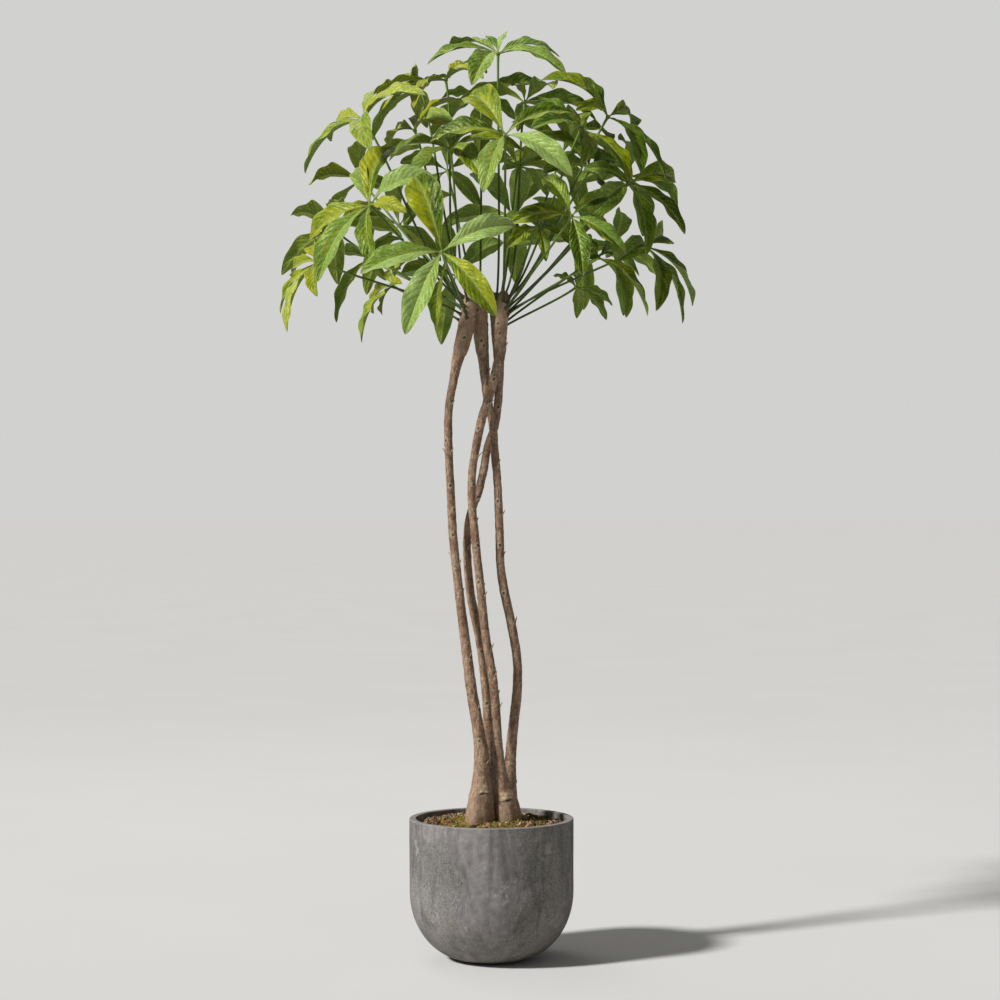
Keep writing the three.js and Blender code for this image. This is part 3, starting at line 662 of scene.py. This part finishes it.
# the twelve corners and twenty faces of an icosahedron
golden = (1 + 5**0.5) / 2
crystalPoints = unit(np.array([
    (-1, golden, 0), (1, golden, 0), (-1, -golden, 0), (1, -golden, 0), (0, -1, golden), (0, 1, golden),
    (0, -1, -golden), (0, 1, -golden), (golden, 0, -1), (golden, 0, 1), (-golden, 0, -1), (-golden, 0, 1),
], float))
crystalFaces = np.array([
    (0, 11, 5), (0, 5, 1), (0, 1, 7), (0, 7, 10), (0, 10, 11), (1, 5, 9), (5, 11, 4), (11, 10, 2),
    (10, 7, 6), (7, 1, 8), (3, 9, 4), (3, 4, 2), (3, 2, 6), (3, 6, 8), (3, 8, 9), (4, 9, 5),
    (2, 4, 11), (6, 2, 10), (8, 6, 7), (9, 8, 1),
])


def soilHeight(x, y):
    # a low mound from its edge to the middle, with lumps at three sizes that sink towards the wall
    points = np.stack([x, y, 0 * x], -1)
    away = np.hypot(x, y)
    rough = sum(size * lumps(points, cell, 21 + k) for k, (size, cell) in enumerate(soil["lumps"]))
    mound = soilEdge + soil["mound"] * (1 - (away / insideRadius) ** 2)
    return mound + rough * np.clip((insideRadius - away) / 5, 0.3, 1)


def soilShape():
    # the planter's inside less a gap, up its wall, then rings that shrink over the lumpy top
    gap = soil["gap"]
    reach = insideRadius - gap
    arc = bowlArc(insideFoot - gap, reach, planter["floor"] + gap, soil["arcRows"])
    lower = np.concatenate([[[2.0, planter["floor"] + gap]], arc, [[reach, soilEdge - 4]]])
    radii = reach * np.linspace(1, 0.004, soil["rings"])
    upper = turned(np.stack([radii, 0 * radii], -1), soil["sides"])
    upper[..., 2] = soilHeight(upper[..., 0], upper[..., 1])
    rings = np.concatenate([turned(lower, soil["sides"]), upper])
    print("soil", rings.shape[0] * rings.shape[1], "points")
    return tube(rings, {})


def strewn(k, seed, place, nearest=0):
    # chance places in an ellipse, from the nearest share of its reach outwards
    (x, y), (wide, deep) = place
    turn = chance(k, seed) * fullTurn
    away = nearest + (1 - nearest) * chance(k, seed + 1) ** 0.5
    return x + wide * away * np.cos(turn), y + deep * away * np.sin(turn)


def chosenTones(k, seed, corners):
    # a chance tone for each bit, the same at all its corners
    return {"tone": np.repeat(chance(k, seed)[:, None] * (1, 0, 0), corners, axis=0)}


def scattered(count, sizes, seed, place, flatness, nearest=0, rim=0):
    # one small crystal per place: scaled, turned and dented by chance, and sunk a little in the soil
    k = np.arange(count)
    x, y = strewn(k, seed, place, nearest)
    inside = np.hypot(x, y) < insideRadius - rim
    k, x, y = (values[inside] for values in (k, x, y))
    size = sizes[0] + (sizes[1] - sizes[0]) * chance(k, seed + 2) ** 2
    dent = 1 + 0.3 * (chance(k[:, None] * 12 + np.arange(12), seed + 3) - 0.5) * 2
    shape = crystalPoints[None] * dent[..., None] * size[:, None, None]
    a = chance(k, seed + 4)[:, None] * fullTurn
    b = chance(k, seed + 5)[:, None] * fullTurn
    sx, sy, sz = shape[..., 0], shape[..., 1] * flatness, shape[..., 2] * (1.25 - 0.25 * flatness)
    sy, sz = sy * np.cos(a) - sz * np.sin(a), sy * np.sin(a) + sz * np.cos(a)
    sx, sy = sx * np.cos(b) - sy * np.sin(b), sx * np.sin(b) + sy * np.cos(b)
    z = soilHeight(x, y) + 0.25 * size
    points = np.stack([sx + x[:, None], sy + y[:, None], sz + z[:, None]], -1).reshape(-1, 3)
    faces = (crystalFaces[None] + 12 * np.arange(len(k))[:, None, None]).reshape(-1, 3)
    print("scattered", len(k), "pieces")
    return {"points": points, "faces": faces.tolist(), "marks": chosenTones(k, seed + 6, 12), "look": 0}


def mossTufts():
    # short leaves in small clumps: three-sided, bent outwards, from a ring of three through a second one
    # at half the length to a point
    k = np.arange(soil["spikes"])
    x, y = strewn(k // soil["perTuft"], 301, soil["tuftPlace"])
    spin = chance(k, 303) * fullTurn
    spread = chance(k, 304) ** 0.5
    x = x + soil["tuftRadius"] * spread * np.cos(spin)
    y = y + soil["tuftRadius"] * spread * np.sin(spin)
    inside = np.hypot(x, y) < insideRadius - 3
    k, x, y, spin, spread = (values[inside] for values in (k, x, y, spin, spread))
    foot = np.stack([x, y, soilHeight(x, y) - 1 + 2.5 * (1 - spread)], -1)
    outward = np.stack([np.cos(spin), np.sin(spin), 0 * spin], -1)
    shortest, longest = soil["spikeLength"]
    length = (shortest + (longest - shortest) * chance(k, 305))[:, None]
    rise = unit(0.5 * outward * spread[:, None] + up)
    bow = unit(1.3 * outward * (0.3 + spread[:, None]) + up)
    ring = soil["spikeWidth"] * circled(around(3), np.array([1.0, 0, 0]), np.array([0, 1.0, 0]))
    middle = foot + rise * length * 0.55
    tip = middle + bow * length * 0.5
    points = np.concatenate([foot[:, None] + ring, middle[:, None] + 0.8 * ring, tip[:, None]], 1)
    side = [(a, (a + 1) % 3, (a + 1) % 3 + 3, a + 3) for a in range(3)]
    point = [(a + 3, (a + 1) % 3 + 3, 6) for a in range(3)]
    faces = [tuple(7 * number + corner for corner in face)
             for number in range(len(k)) for face in side + point + [(2, 1, 0)]]
    print("moss tufts", len(k), "leaves")
    return {"points": points.reshape(-1, 3), "faces": faces, "marks": chosenTones(k, 306, 7), "look": 0}


def pottingSoil():
    # peat and moss: matt, brown to rust, with an olive film where moss has spread
    material, add, where = newMaterial("pottingSoil")
    # moss in patches of about 35 mm, and crumbs of 3 mm
    patch = add("TexNoise", {"Vector": where, "Scale": 28.0, "Detail": 4.0})
    crumbs = add("TexNoise", {"Vector": where, "Scale": 330.0, "Detail": 4.0, "Roughness": 0.7})
    film = add("ValToRGB", {0: patch}, ramp=[(0.38, 0.0), (0.5, 1.0)])
    brown = add("ValToRGB", {0: crumbs}, ramp=[(0.0, "#3a2611"), (1.0, "#96682c")])
    moss = add("ValToRGB", {0: crumbs}, ramp=[(0.0, "#3f390e"), (1.0, "#948228")])
    cells = add("TexVoronoi", {"Vector": where, "Scale": 300.0})
    relief = [(crumbs, 1.0), (cells.outputs["Distance"], 1.0)]
    finishSurface(add, brown, [(film, moss)], 0.95, relief, 1.2)
    return material


def looseBits(name, ramp, roughness):
    # bark, moss and gravel: matt, each bit in its own tone from the ramp, with a little grain
    material, add, where = newMaterial(name)
    tones = add("ValToRGB", {0: markParts(add, "tone")[0]}, ramp=ramp)
    grain = add("TexNoise", {"Vector": where, "Scale": 700.0, "Detail": 3.0})
    shade = add("ValToRGB", {0: grain}, ramp=[(0.3, 0.6), (0.7, 1.1)])
    finishSurface(add, tones, [(0.8, shade, "MULTIPLY")], roughness, [(grain, 1.0)], 0.5)
    return material


# trunk, hub, (heading, tilt) that the leaf faces, length of a full blade, its blades (an angle each, or
# an angle and a share of the length) and its look
leafRows = [
    ("trunk_rear", (12, -10, 1652), (-88, 26), 156, (176, 132, 90, -112, 30, -22), "pale"),
    ("trunk_right", (-84, 10, 1608), (-150, 25), 145, (112, (48, 0.6), 5, -60, -118, (-165, 0.7)), "gold"),
    ("trunk_right", (-132, 100, 1603), (150, 30), 140, (-30, 25, (100, 0.55), -150, -90), "gold"),
    ("trunk_right", (-20, 160, 1600), (95, 34), 145, ((12, 0.6), 150, (-150, 0.62), -95, -40), "lime"),
    ("trunk_rear", (62, 80, 1579), (51, 24), 150,
     ((108, 0.62), 150, -160, (-105, 0.82), (-45, 0.72), 30), "lime"),
    ("trunk_front", (211, -40, 1532), (-30, 45), 162, (88, 126, (166, 0.65), 14, -66, -110), "deep"),
    ("trunk_left", (-228, -90, 1520), (-150, 45), 158, (178, -142, 112, 74, 30, -30), "gold"),
    ("trunk_rear", (135, 245, 1505), (65, 42), 150, (0, 60, 125, -170, -90), "lime"),
    ("trunk_left", (-139, -38, 1508), (-152, 40), 135, (176, 130, 84, 10), "gold"),
    ("trunk_rear", (160, -60, 1503), (-35, 36), 150, (172, 110, 50, 8, -90, -140), "deep"),
    ("trunk_right", (-87, 285, 1480), (105, 45), 150, ((20, 0.75), 85, 150, (-140, 0.8), -60), "lime"),
    ("trunk_right", (-250, 190, 1448), (140, 45), 150, (0, 60, 120, (180, 0.7), -90), "gold"),
    ("trunk_front", (24, -210, 1473), (-98, 48), 160, (172, (118, 1.2), 37, -32, (-102, 0.85)), "pale"),
    ("trunk_rear", (50, 125, 1466), (60, 30), 145,
     ((20, 0.7), 80, (145, 0.8), -155, (-110, 0.65), -60), "lime"),
    ("trunk_rear", (255, 145, 1450), (30, 45), 150, (15, 72, 130, -150, -60), "deep"),
    ("trunk_left", (-73, -105, 1464), (-111, 28), 148,
     (170, (-110, 0.85), (104, 0.62), 72, -45, 12), "lime"),
    ("trunk_rear", (178, -20, 1437), (-40, 45), 145, (112, 75, 30, -20, (-112, 0.8), 178), "deep"),
    ("trunk_front", (247, -50, 1409), (-58, 60), 148, (-92, -38, 20, (95, 0.5), (150, 0.7), -150), "deep"),
    ("trunk_rear", (40, 315, 1395), (85, 50), 155, (0, 60, 120, -165, -90), "lime"),
    ("trunk_right", (-180, 270, 1372), (122, 50), 150, (10, 70, 130, -155, -80), "gold"),
    ("trunk_left", (-213, -170, 1355), (-130, 60), 152,
     (118, (96, 1.15), 36, (-4, 0.7), (-62, 0.85), -118, -164), "gold"),
    ("trunk_rear", (162, 292, 1340), (60, 52), 150, (10, 70, 130, -155, -80), "deep"),
    ("trunk_left", (-289, 60, 1337), (110, 35), 135, (35, 80, 125, 170, -50, -105), "gold"),
    ("trunk_front", (140, -200, 1333), (-80, 62), 122, (178, 112, (40, 0.92), -84, -32), "deep"),
    ("trunk_front", (82, -80, 1329), (-70, 55), 80, (-88, -30, 60, 150, -150), "lime"),
    ("trunk_right", (-235, 225, 1302), (140, 55), 140,
     ((10, 0.8), 70, (130, 0.65), (-155, 0.6), -80), "lime"),
    ("trunk_front", (280, -20, 1300), (-28, 60), 154, (-172, -124, -84, -38, 22), "deep"),
    ("trunk_rear", (225, 200, 1320), (42, 60), 140, ((10, 0.7), 70, 130, -155, -80), "deep"),
    ("trunk_right", (-70, 285, 1275), (110, 62), 140, (10, 70, 130, -150, -85), "lime"),
    ("trunk_front", (191, -100, 1271), (-25, 50), 150,
     (-115, -55, (178, 0.45), (20, 0.7), (90, 0.6)), "deep"),
    ("trunk_left", (-309, -90, 1264), (-150, 60), 130,
     (-92, -135, 180, (138, 0.8), (94, 0.7), (-48, 0.7)), "gold"),
    ("trunk_left", (-85, -95, 1245), (-118, 75), 95, (-92, -140, (70, 0.5)), "lime"),
    ("trunk_left", (-83, -300, 1260), (-92, 70), 162, (-174, -115, -46, 32, (106, 1.2)), "pale"),
    ("trunk_left", (-183, 40, 1233), (-165, 60), 125,
     (-118, -165, 142, (80, 0.7), (-60, 0.6), (10, 0.5)), "gold"),
    ("trunk_rear", (157, 68, 1233), (50, 40), 86, (-60, -112, -150, (60, 0.7), (120, 0.6)), "deep"),
]
# how yellow a leaf is marked and how light its green is, from 0 to 1. The light values are partly the
# leaf's own tone and partly painted light: the pale look, on the front leaves, brings painted sheen, and
# the deep look, on the leaves to the right away from the key light, paints shade into them
leafLooks = {"pale": (0.08, 0.75), "gold": (0.62, 0.52), "lime": (0.34, 0.5), "deep": (0.2, 0.4)}
# single blades that stand out, by leaf and blade: (gold, light) left of the midrib, then right of it,
# looking out from the hub. The light values follow how lit or shaded each half stands on its fold, so
# they are partly the blade's own tone and partly painted light and shade
halfLooks = {
    (33, 0): ((0.2, 0.85), (0.15, 0.62)), (33, 1): ((0.15, 0.75), (0.12, 0.88)),
    (33, 2): ((0.62, 0.5), (0.35, 0.4)), (33, 3): ((0.12, 0.92), (0.2, 0.85)),
    (33, 4): ((0.62, 0.4), (0.1, 0.15)),
    (13, 0): ((0.5, 0.55), (0.08, 0.18)), (13, 1): ((0.5, 0.45), (0.4, 0.35)),
    (13, 2): ((0.08, 0.2), (0.5, 0.6)), (13, 3): ((0.2, 0.8), (0.12, 0.85)),
    (13, 4): ((0.3, 0.65), (0.35, 0.72)),
    (1, 0): ((0.25, 0.6), (0.12, 0.45)), (1, 3): ((0.35, 0.7), (0.3, 0.6)),
    (1, 5): ((0.15, 0.7), (0.2, 0.6)),
    (21, 0): ((0.35, 0.7), (0.6, 0.5)), (21, 1): ((0.75, 0.5), (0.12, 0.25)),
    (21, 2): ((0.12, 0.85), (0.15, 0.8)), (21, 3): ((0.8, 0.5), (0.75, 0.5)),
    (21, 4): ((0.3, 0.4), (0.12, 0.35)), (21, 5): ((0.15, 0.7), (0.2, 0.6)),
    (21, 6): ((0.65, 0.5), (0.5, 0.45)),
}
blade = {
    "length": 150, "width": 46, "fold": 0.40, "lift": 0.45, "curl": 0.45, "sag": 0.14,
    "stations": (0.02, 0.2, 0.5, 0.8, 1), "ripple": 6, "shortest": 0.92, "spread": 0.14,
    "rows": 57, "columns": 6, "thickness": 0.42, "ribRadius": 1.3, "ribDepth": 1.9, "groove": 0.4,
    "veins": 11, "veinSweep": (0.17, 0.05), "quilt": 1.6, "pillow": 0.8, "pillowCell": 1.1,
    "frill": 2.6, "frillWaves": 3.3, "arch": 0.07, "skew": 1.3, "taper": 1.15, "blunt": 0.45, "roll": 0.3,
}
stalk = {
    "radius": 2.1, "foot": 4.2, "root": 4, "clear": 10, "spacing": 5.2, "rise": 0.7, "spring": 0.22,
    "nod": 0.35, "neck": 0.3, "sides": 10, "rows": 34, "hub": 4.2, "hubRows": 9, "hubSides": 12,
}


def bladeShape(hub, plane, angle, length, number, count, halves):
    # Along its midrib, at shares t, a blade follows hub + length * (out * t - bend * t * t). Its half width
    # is the widest times sin(pi * t ** skew) ** (taper - blunt * t). Across, at shares s from -1 to 1, each
    # half folds up from the midrib and arches, its edge waves, and it swells between side veins that
    # sweep towards the tip, with chance pillows between; the whole rolls a little.
    normal, level, uphill = plane
    flat = level * math.cos(angle) + uphill * math.sin(angle)
    out = flat * math.cos(blade["lift"]) + normal * math.sin(blade["lift"])
    bend = normal * blade["curl"] + up * blade["sag"]
    t = np.linspace(blade["stations"][0], 1, blade["rows"])[:, None]
    middle = hub + length * (out * t - bend * t**2)
    along = unit(out - 2 * bend * t)
    side = unit(np.cross(along, normal))
    over = np.cross(side, along)
    roll = blade["roll"] * (2 * chance(number + 3, count * 5 + 1) - 1) * np.sin(np.pi / 2 * t)
    side, over = side * np.cos(roll) + over * np.sin(roll), over * np.cos(roll) - side * np.sin(roll)
    widest = blade["width"] * length / blade["length"] / 2 * (0.9 + 0.2 * chance(number + 8, count))
    half = np.sin(np.pi * t**blade["skew"]).clip(0) ** (blade["taper"] - blade["blunt"] * t) * widest
    rib = blade["ribRadius"] * (0.2 + 0.8 * (1 - t) ** 0.8)
    reach = np.maximum(half, rib * 1.2)

    # columns round the section: -n..n over the top, then back underneath without the two edges
    n = blade["columns"]
    column = np.concatenate([np.arange(-n, n + 1), np.arange(n - 1, -n, -1)])
    top = np.concatenate([np.ones(2 * n + 1), -np.ones(2 * n - 1)])
    top[[0, 2 * n]] = 0
    size = np.abs(column)
    across = np.where(size <= 1, rib * size, rib + (reach - rib) * (size - 1).clip(0) / (n - 1))
    s = np.sign(column) * across / reach
    far = np.abs(s)
    full = half / widest
    arched = np.sin(math.pi * far.clip(0, 1))

    # the edge waves by the same numbers as the CAD's, with a finer frill on top
    waves = []
    for place in (-1, 1):
        steps = np.arange(len(blade["stations"])) * 3 + place
        values = (chance(number * 10 + count, steps) - 0.5) * blade["ripple"]
        values[[0, -1]] = 0
        waves.append(eased(t, blade["stations"], values))
    wave = np.where(column < 0, waves[0], waves[1])
    seed = chance(count, number + 0.5) * fullTurn
    crests = blade["frillWaves"] * t + 0.21 * np.sign(column)
    frill = blade["frill"] * np.sin(fullTurn * crests + seed) * full
    sweep, hook = blade["veinSweep"]
    phase = blade["veins"] * (t - sweep * far - hook * far**2) + 0.5 * (column < 0)
    swell = np.abs(np.sin(math.pi * phase)) ** 0.7 - 0.6
    pillow = lumps(np.stack([phase, 3 * s, number + count + 0 * s], -1), blade["pillowCell"], 7)
    quilt = blade["quilt"] * (swell + blade["pillow"] * pillow) * arched ** 0.6 * full ** 0.5
    rise = math.sin(blade["fold"]) * across + blade["arch"] * half * arched
    rise = rise + wave * far**1.5 + frill * far**3 + quilt
    groove = -blade["groove"] * hump(across, rib * 0.7) * full.clip(0, 1)
    thick = blade["thickness"] * (1 - far**4) + blade["ribDepth"] * (1 - t) ** 0.9 * hump(across, rib * 0.9)
    rise = rise + np.where(top > 0, groove + 0.25 * thick, np.where(top < 0, -0.75 * thick, 0))
    aside = np.sign(column) * across * math.cos(blade["fold"])
    rings = middle[:, None] + side[:, None] * aside[..., None] + over[:, None] * rise[..., None]

    # each half's light value: partly the leaf's own tone, partly painted light and shade
    (goldLeft, lightLeft), (goldRight, lightRight) = halves
    gold = np.where(column < 0, goldLeft, goldRight)
    light = np.where(column < 0, lightLeft, lightRight)
    everywhere = 0 * s
    return tube(rings, {
        "place": np.stack([phase, s, t + everywhere], -1),
        "tone": np.stack([gold + everywhere, light + everywhere, hump(across, 1.5 * rib) * (half > 0)], -1),
        "facing": np.stack([top + everywhere, chance(number, count) + everywhere, everywhere], -1),
    })


def leafPart(rings, t):
    # stalk and hub wear the second material and carry how far along they are
    blank = np.zeros(rings.shape)
    place = blank.copy()
    place[..., 2] = t
    shape = tube(rings, {"place": place, "tone": blank, "facing": blank + (1, 0, 0)})
    shape["look"] = 1
    return shape


def stalkShape(row, order, hub, normal):
    # a cubic Bezier from inside the bark to the hub, thick at its foot and a little at its neck
    places, _, radii = trunkLine(trunkRows[row[0]], np.linspace(1, 0, 1001))
    level = places[0, 2] - stalk["clear"] - order * stalk["spacing"]
    at = np.argmax(places[:, 2] <= level)
    outward = unit((hub - places[at]) * (1, 1, 0))
    leave = unit(outward + stalk["rise"] * up)
    foot = places[at] + outward * (radii[at] - stalk["root"])
    reach = np.linalg.norm(hub - foot)
    arrive = unit(unit(hub - foot) + stalk["nod"] * normal)
    p1 = foot + leave * reach * stalk["spring"]
    p2 = hub - arrive * reach * stalk["neck"]
    t = (np.linspace(0, 1, stalk["rows"]) ** 1.25)[:, None]
    middle = (1 - t)**3 * foot + 3 * (1 - t)**2 * t * p1 + 3 * (1 - t) * t**2 * p2 + t**3 * hub
    along = unit((1 - t)**2 * (p1 - foot) + 2 * (1 - t) * t * (p2 - p1) + t**2 * (hub - p2))
    across = np.cross(up, outward)
    across = unit(across - along * (along @ across)[:, None])
    size = stalk["radius"] + (stalk["foot"] - stalk["radius"]) * hump(t * reach - 3, 9) \
        + 0.7 * hump((1 - t) * reach, 14)
    offsets = circled(around(stalk["sides"]), across, np.cross(along, across))
    return leafPart(middle[:, None] + size[..., None] * offsets, t)


def hubShape(hub):
    # a ball, as rings round +Z
    rows = stalk["hubRows"]
    rings = hub + stalk["hub"] * ball(np.linspace(-1.45, 1.45, rows), stalk["hubSides"])
    return leafPart(rings, np.ones(rows)[:, None])


def steepness(row):
    # height over distance, from the head of a leaf's trunk to its hub
    x, y, z = trunkRows[row[0]][0][:3]
    return (row[1][2] - z) / math.hypot(row[1][0] - x, row[1][1] - y)


def leafShape(number):
    # a stalk, a hub and the blades that fan out from it in the plane that heading and tilt give; the
    # steepest stalk of a trunk starts highest
    row = leafRows[number]
    name, hub, (heading, tilt), size, blades, look = row
    hub = np.array(hub, float)
    turn, lean = math.radians(heading), math.radians(tilt)
    level = np.array([-math.sin(turn), math.cos(turn), 0])
    normal = np.array([math.sin(lean) * math.cos(turn), math.sin(lean) * math.sin(turn), math.cos(lean)])
    plane = (normal, level, np.cross(normal, level))
    order = sum(other[0] == name and steepness(other) > steepness(row) for other in leafRows)
    shapes = [stalkShape(row, order, hub, normal), hubShape(hub)]
    gold, light = leafLooks[look]
    for count, entry in enumerate(blades):
        angle, share = entry if isinstance(entry, tuple) else (entry, 1)
        length = size * share * (blade["shortest"] + blade["spread"] * chance(number, count))
        dice = number * 7 + count
        halves = [(gold + 0.5 * (chance(dice, 5 + k) - 0.5), light + 0.5 * (chance(dice, 15 + k) - 0.5))
                  for k in (0, 1)]
        halves = halfLooks.get((number + 1, count), halves)
        shapes.append(bladeShape(hub, plane, math.radians(angle), length, number, count, halves))
    return joined(shapes)


def waxyLeaf():
    # a living leaf: satin wax over green, marked with yellow between the side veins, with a painted sheen of
    # pale grey-green on its light halves, a pale midrib and edge, a dull underside and a fine net of veins;
    # thin enough to glow a little with light behind it
    material, add, where = newMaterial("waxyLeaf")
    phase, s, t = markParts(add, "place")
    gold, light, rib = markParts(add, "tone")
    top, dice = markParts(add, "facing")[:2]

    # side veins: 0 on a vein, 1 midway between two, a little off true; and a net of veins 3 mm apart,
    # coarser than the real one so that it shows
    clouds = add("TexNoise", {"Vector": where, "Scale": 42.0, "Detail": 4.0, "Roughness": 0.6})
    strayed = add("Math", {0: clouds, 1: 0.35, 2: phase}, operation="MULTIPLY_ADD")
    between = add("Math", {0: strayed, 1: math.pi}, operation="MULTIPLY")
    between = add("Math", {0: between}, operation="SINE")
    between = add("Math", {0: between}, operation="ABSOLUTE")
    net = add("TexVoronoi", {"Vector": where, "Scale": 300.0}, feature="DISTANCE_TO_EDGE")
    netMask = add("ValToRGB", {0: net}, ramp=[(0.0, 0.0), (0.12, 1.0)])

    # green: from deep to light by the half's tone, partly its own and partly painted light and shade;
    # cloudy, with a faint net of paler veins
    dapple = add("TexNoise", {"Vector": where, "Scale": 90.0, "Detail": 4.0, "Roughness": 0.6})
    tint = light
    for part, weight in ((clouds, 0.5), (dapple, 0.65), (1.0, -0.63)):
        tint = add("Math", {0: part, 1: weight, 2: tint}, operation="MULTIPLY_ADD")
    green = add("ValToRGB", {0: tint},
                ramp=[(0.05, "#1c3002"), (0.35, "#3d5806"), (0.65, "#608014"), (0.95, "#839f4a")])
    netShade = add("MapRange", {0: netMask, 3: 1.16, 4: 0.96})

    # marbling drawn out along the side veins: yellow where the half has gold; then a painted sheen, streaky
    # grey-green where the half is light
    alongVein = add("Math", {0: phase, 1: 0.42}, operation="MULTIPLY")
    acrossVein = add("Math", {0: s, 1: 1.5}, operation="MULTIPLY")
    drawn = add("CombineXYZ", {0: alongVein, 1: acrossVein, 2: dice})
    blotches = add("TexNoise", {"Vector": drawn, "Scale": 1.7, "Detail": 3.0, "Roughness": 0.6,
                                "Distortion": 0.4})
    amount = add("Math", {0: gold, 1: 0.5, 2: blotches}, operation="MULTIPLY_ADD")
    halo = add("ValToRGB", {0: amount}, ramp=[(0.44, 0.0), (0.78, 0.85)])
    marks = add("ValToRGB", {0: amount}, ramp=[(0.62, 0.0), (0.95, 0.9)])
    fine = add("TexNoise", {"Vector": drawn, "Scale": 6.5, "Detail": 5.0, "Roughness": 0.72,
                            "Distortion": 0.3})
    # painted sheen: pale grey-green where the half's green is light, standing in for the gloss of its wax
    paintedSheen = add("Math", {0: light, 1: 0.4, 2: fine}, operation="MULTIPLY_ADD")
    paintedSheen = add("ValToRGB", {0: paintedSheen}, ramp=[(0.7, 0.0), (0.94, 0.8)])

    # side veins, midrib, edge, tip and underside
    veined = add("ValToRGB", {0: between}, ramp=[(0.0, 0.3), (0.2, 0.0)])
    ribbed = add("Math", {0: rib, 1: 0.75}, operation="MULTIPLY")
    far = add("Math", {0: s}, operation="ABSOLUTE")
    edge = add("MapRange", {0: far, 1: 0.955, 2: 1.0})
    edged = add("Math", {0: edge, 1: 0.6}, operation="MULTIPLY")
    tip = add("MapRange", {0: t, 1: 0.93, 2: 1.0, 4: 0.5})
    under = add("MapRange", {0: top, 1: 0.1, 2: -0.4, 4: 0.5})
    coats = [(0.7, netShade, "MULTIPLY"), (halo, "#627406"), (marks, "#989608"), (paintedSheen, "#9aae74"),
             (veined, "#a3b052"), (ribbed, "#9aa858"), (edged, "#a6b07e"), (tip, "#949c78"),
             (under, "#5e7430")]
    rough = add("MapRange", {0: top, 1: -1.0, 2: 1.0, 3: 0.6, 4: 0.4})
    pucker = add("TexNoise", {"Vector": where, "Scale": 80.0, "Detail": 2.0, "Roughness": 0.5})
    relief = [(netMask, 0.03), (between, 0.6), (pucker, 2.4)]
    finishSurface(add, green, coats, rough, relief, 0.9, **{
        "Subsurface Weight": 0.13, "Subsurface Radius": (0.7, 1.0, 0.15), "Subsurface Scale": 0.001,
        "IOR": 1.45, "Specular IOR Level": 0.36, "Specular Tint": "#dcea9a"})
    return material


def greenStalk():
    # a fleshy stalk: olive, darker and browner at its foot, with fine yellow-green flecks
    material, add, where = newMaterial("greenStalk")
    ageing = add("ValToRGB", {0: markParts(add, "place")[2]},
                 ramp=[(0.0, "#3d3018"), (0.06, "#2f3a10"), (0.6, "#425813"), (1.0, "#627c22")])
    flecks = add("TexNoise", {"Vector": where, "Scale": 600.0, "Detail": 2.0})
    mask = add("ValToRGB", {0: flecks}, ramp=[(0.6, 0.0), (0.7, 0.6)])
    finishSurface(add, ageing, [(mask, "#9aa84a")], 0.5, [(flecks, 1.0)], 0.2,
                  **{"Specular IOR Level": 0.3})
    return material


setStage()
addPiece("planterShell", planterShape(), [castConcrete()], "pot", creaseAngle=60)
addPiece("soilBed", soilShape(), [pottingSoil()], "soil")
onSoil = [
    ("soilChips", scattered(**barkBits), 25, "pineBarkChips", 0.85,
     [(0.0, "#341f12"), (0.4, "#6b452b"), (0.75, "#a07a58"), (1.0, "#c9a98a")]),
    ("mossGrains", scattered(**mossBits), None, "cushionMoss", 0.9,
     [(0.0, "#3a3209"), (0.5, "#6b6018"), (0.8, "#83702a"), (1.0, "#998c33")]),
    ("soilStones", scattered(**stones), 25, "riverGravel", 0.8,
     [(0.0, "#57504a"), (0.6, "#8d837a"), (1.0, "#b5aca2")]),
    ("mossTufts", mossTufts(), 40, "feltMoss", 0.85,
     [(0.0, "#161f06"), (0.6, "#2f3d0c"), (1.0, "#56661a")]),
]
for name, shape, creaseAngle, finish, roughness, tones in onSoil:
    addPiece(name, shape, [looseBits(finish, tones, roughness)], creaseAngle=creaseAngle)
bark = youngBark()
for number, name in enumerate(trunkRows):
    addPiece(name + "_bark", trunkShape(name, number), [bark], name)
leafMaterials = [waxyLeaf(), greenStalk()]
for number in range(len(leafRows)):
    label = "%02d" % (number + 1)
    addPiece("leafHand_" + label, leafShape(number), leafMaterials, "leaf_" + label, creaseAngle=70)
print("leaves", len(leafRows))
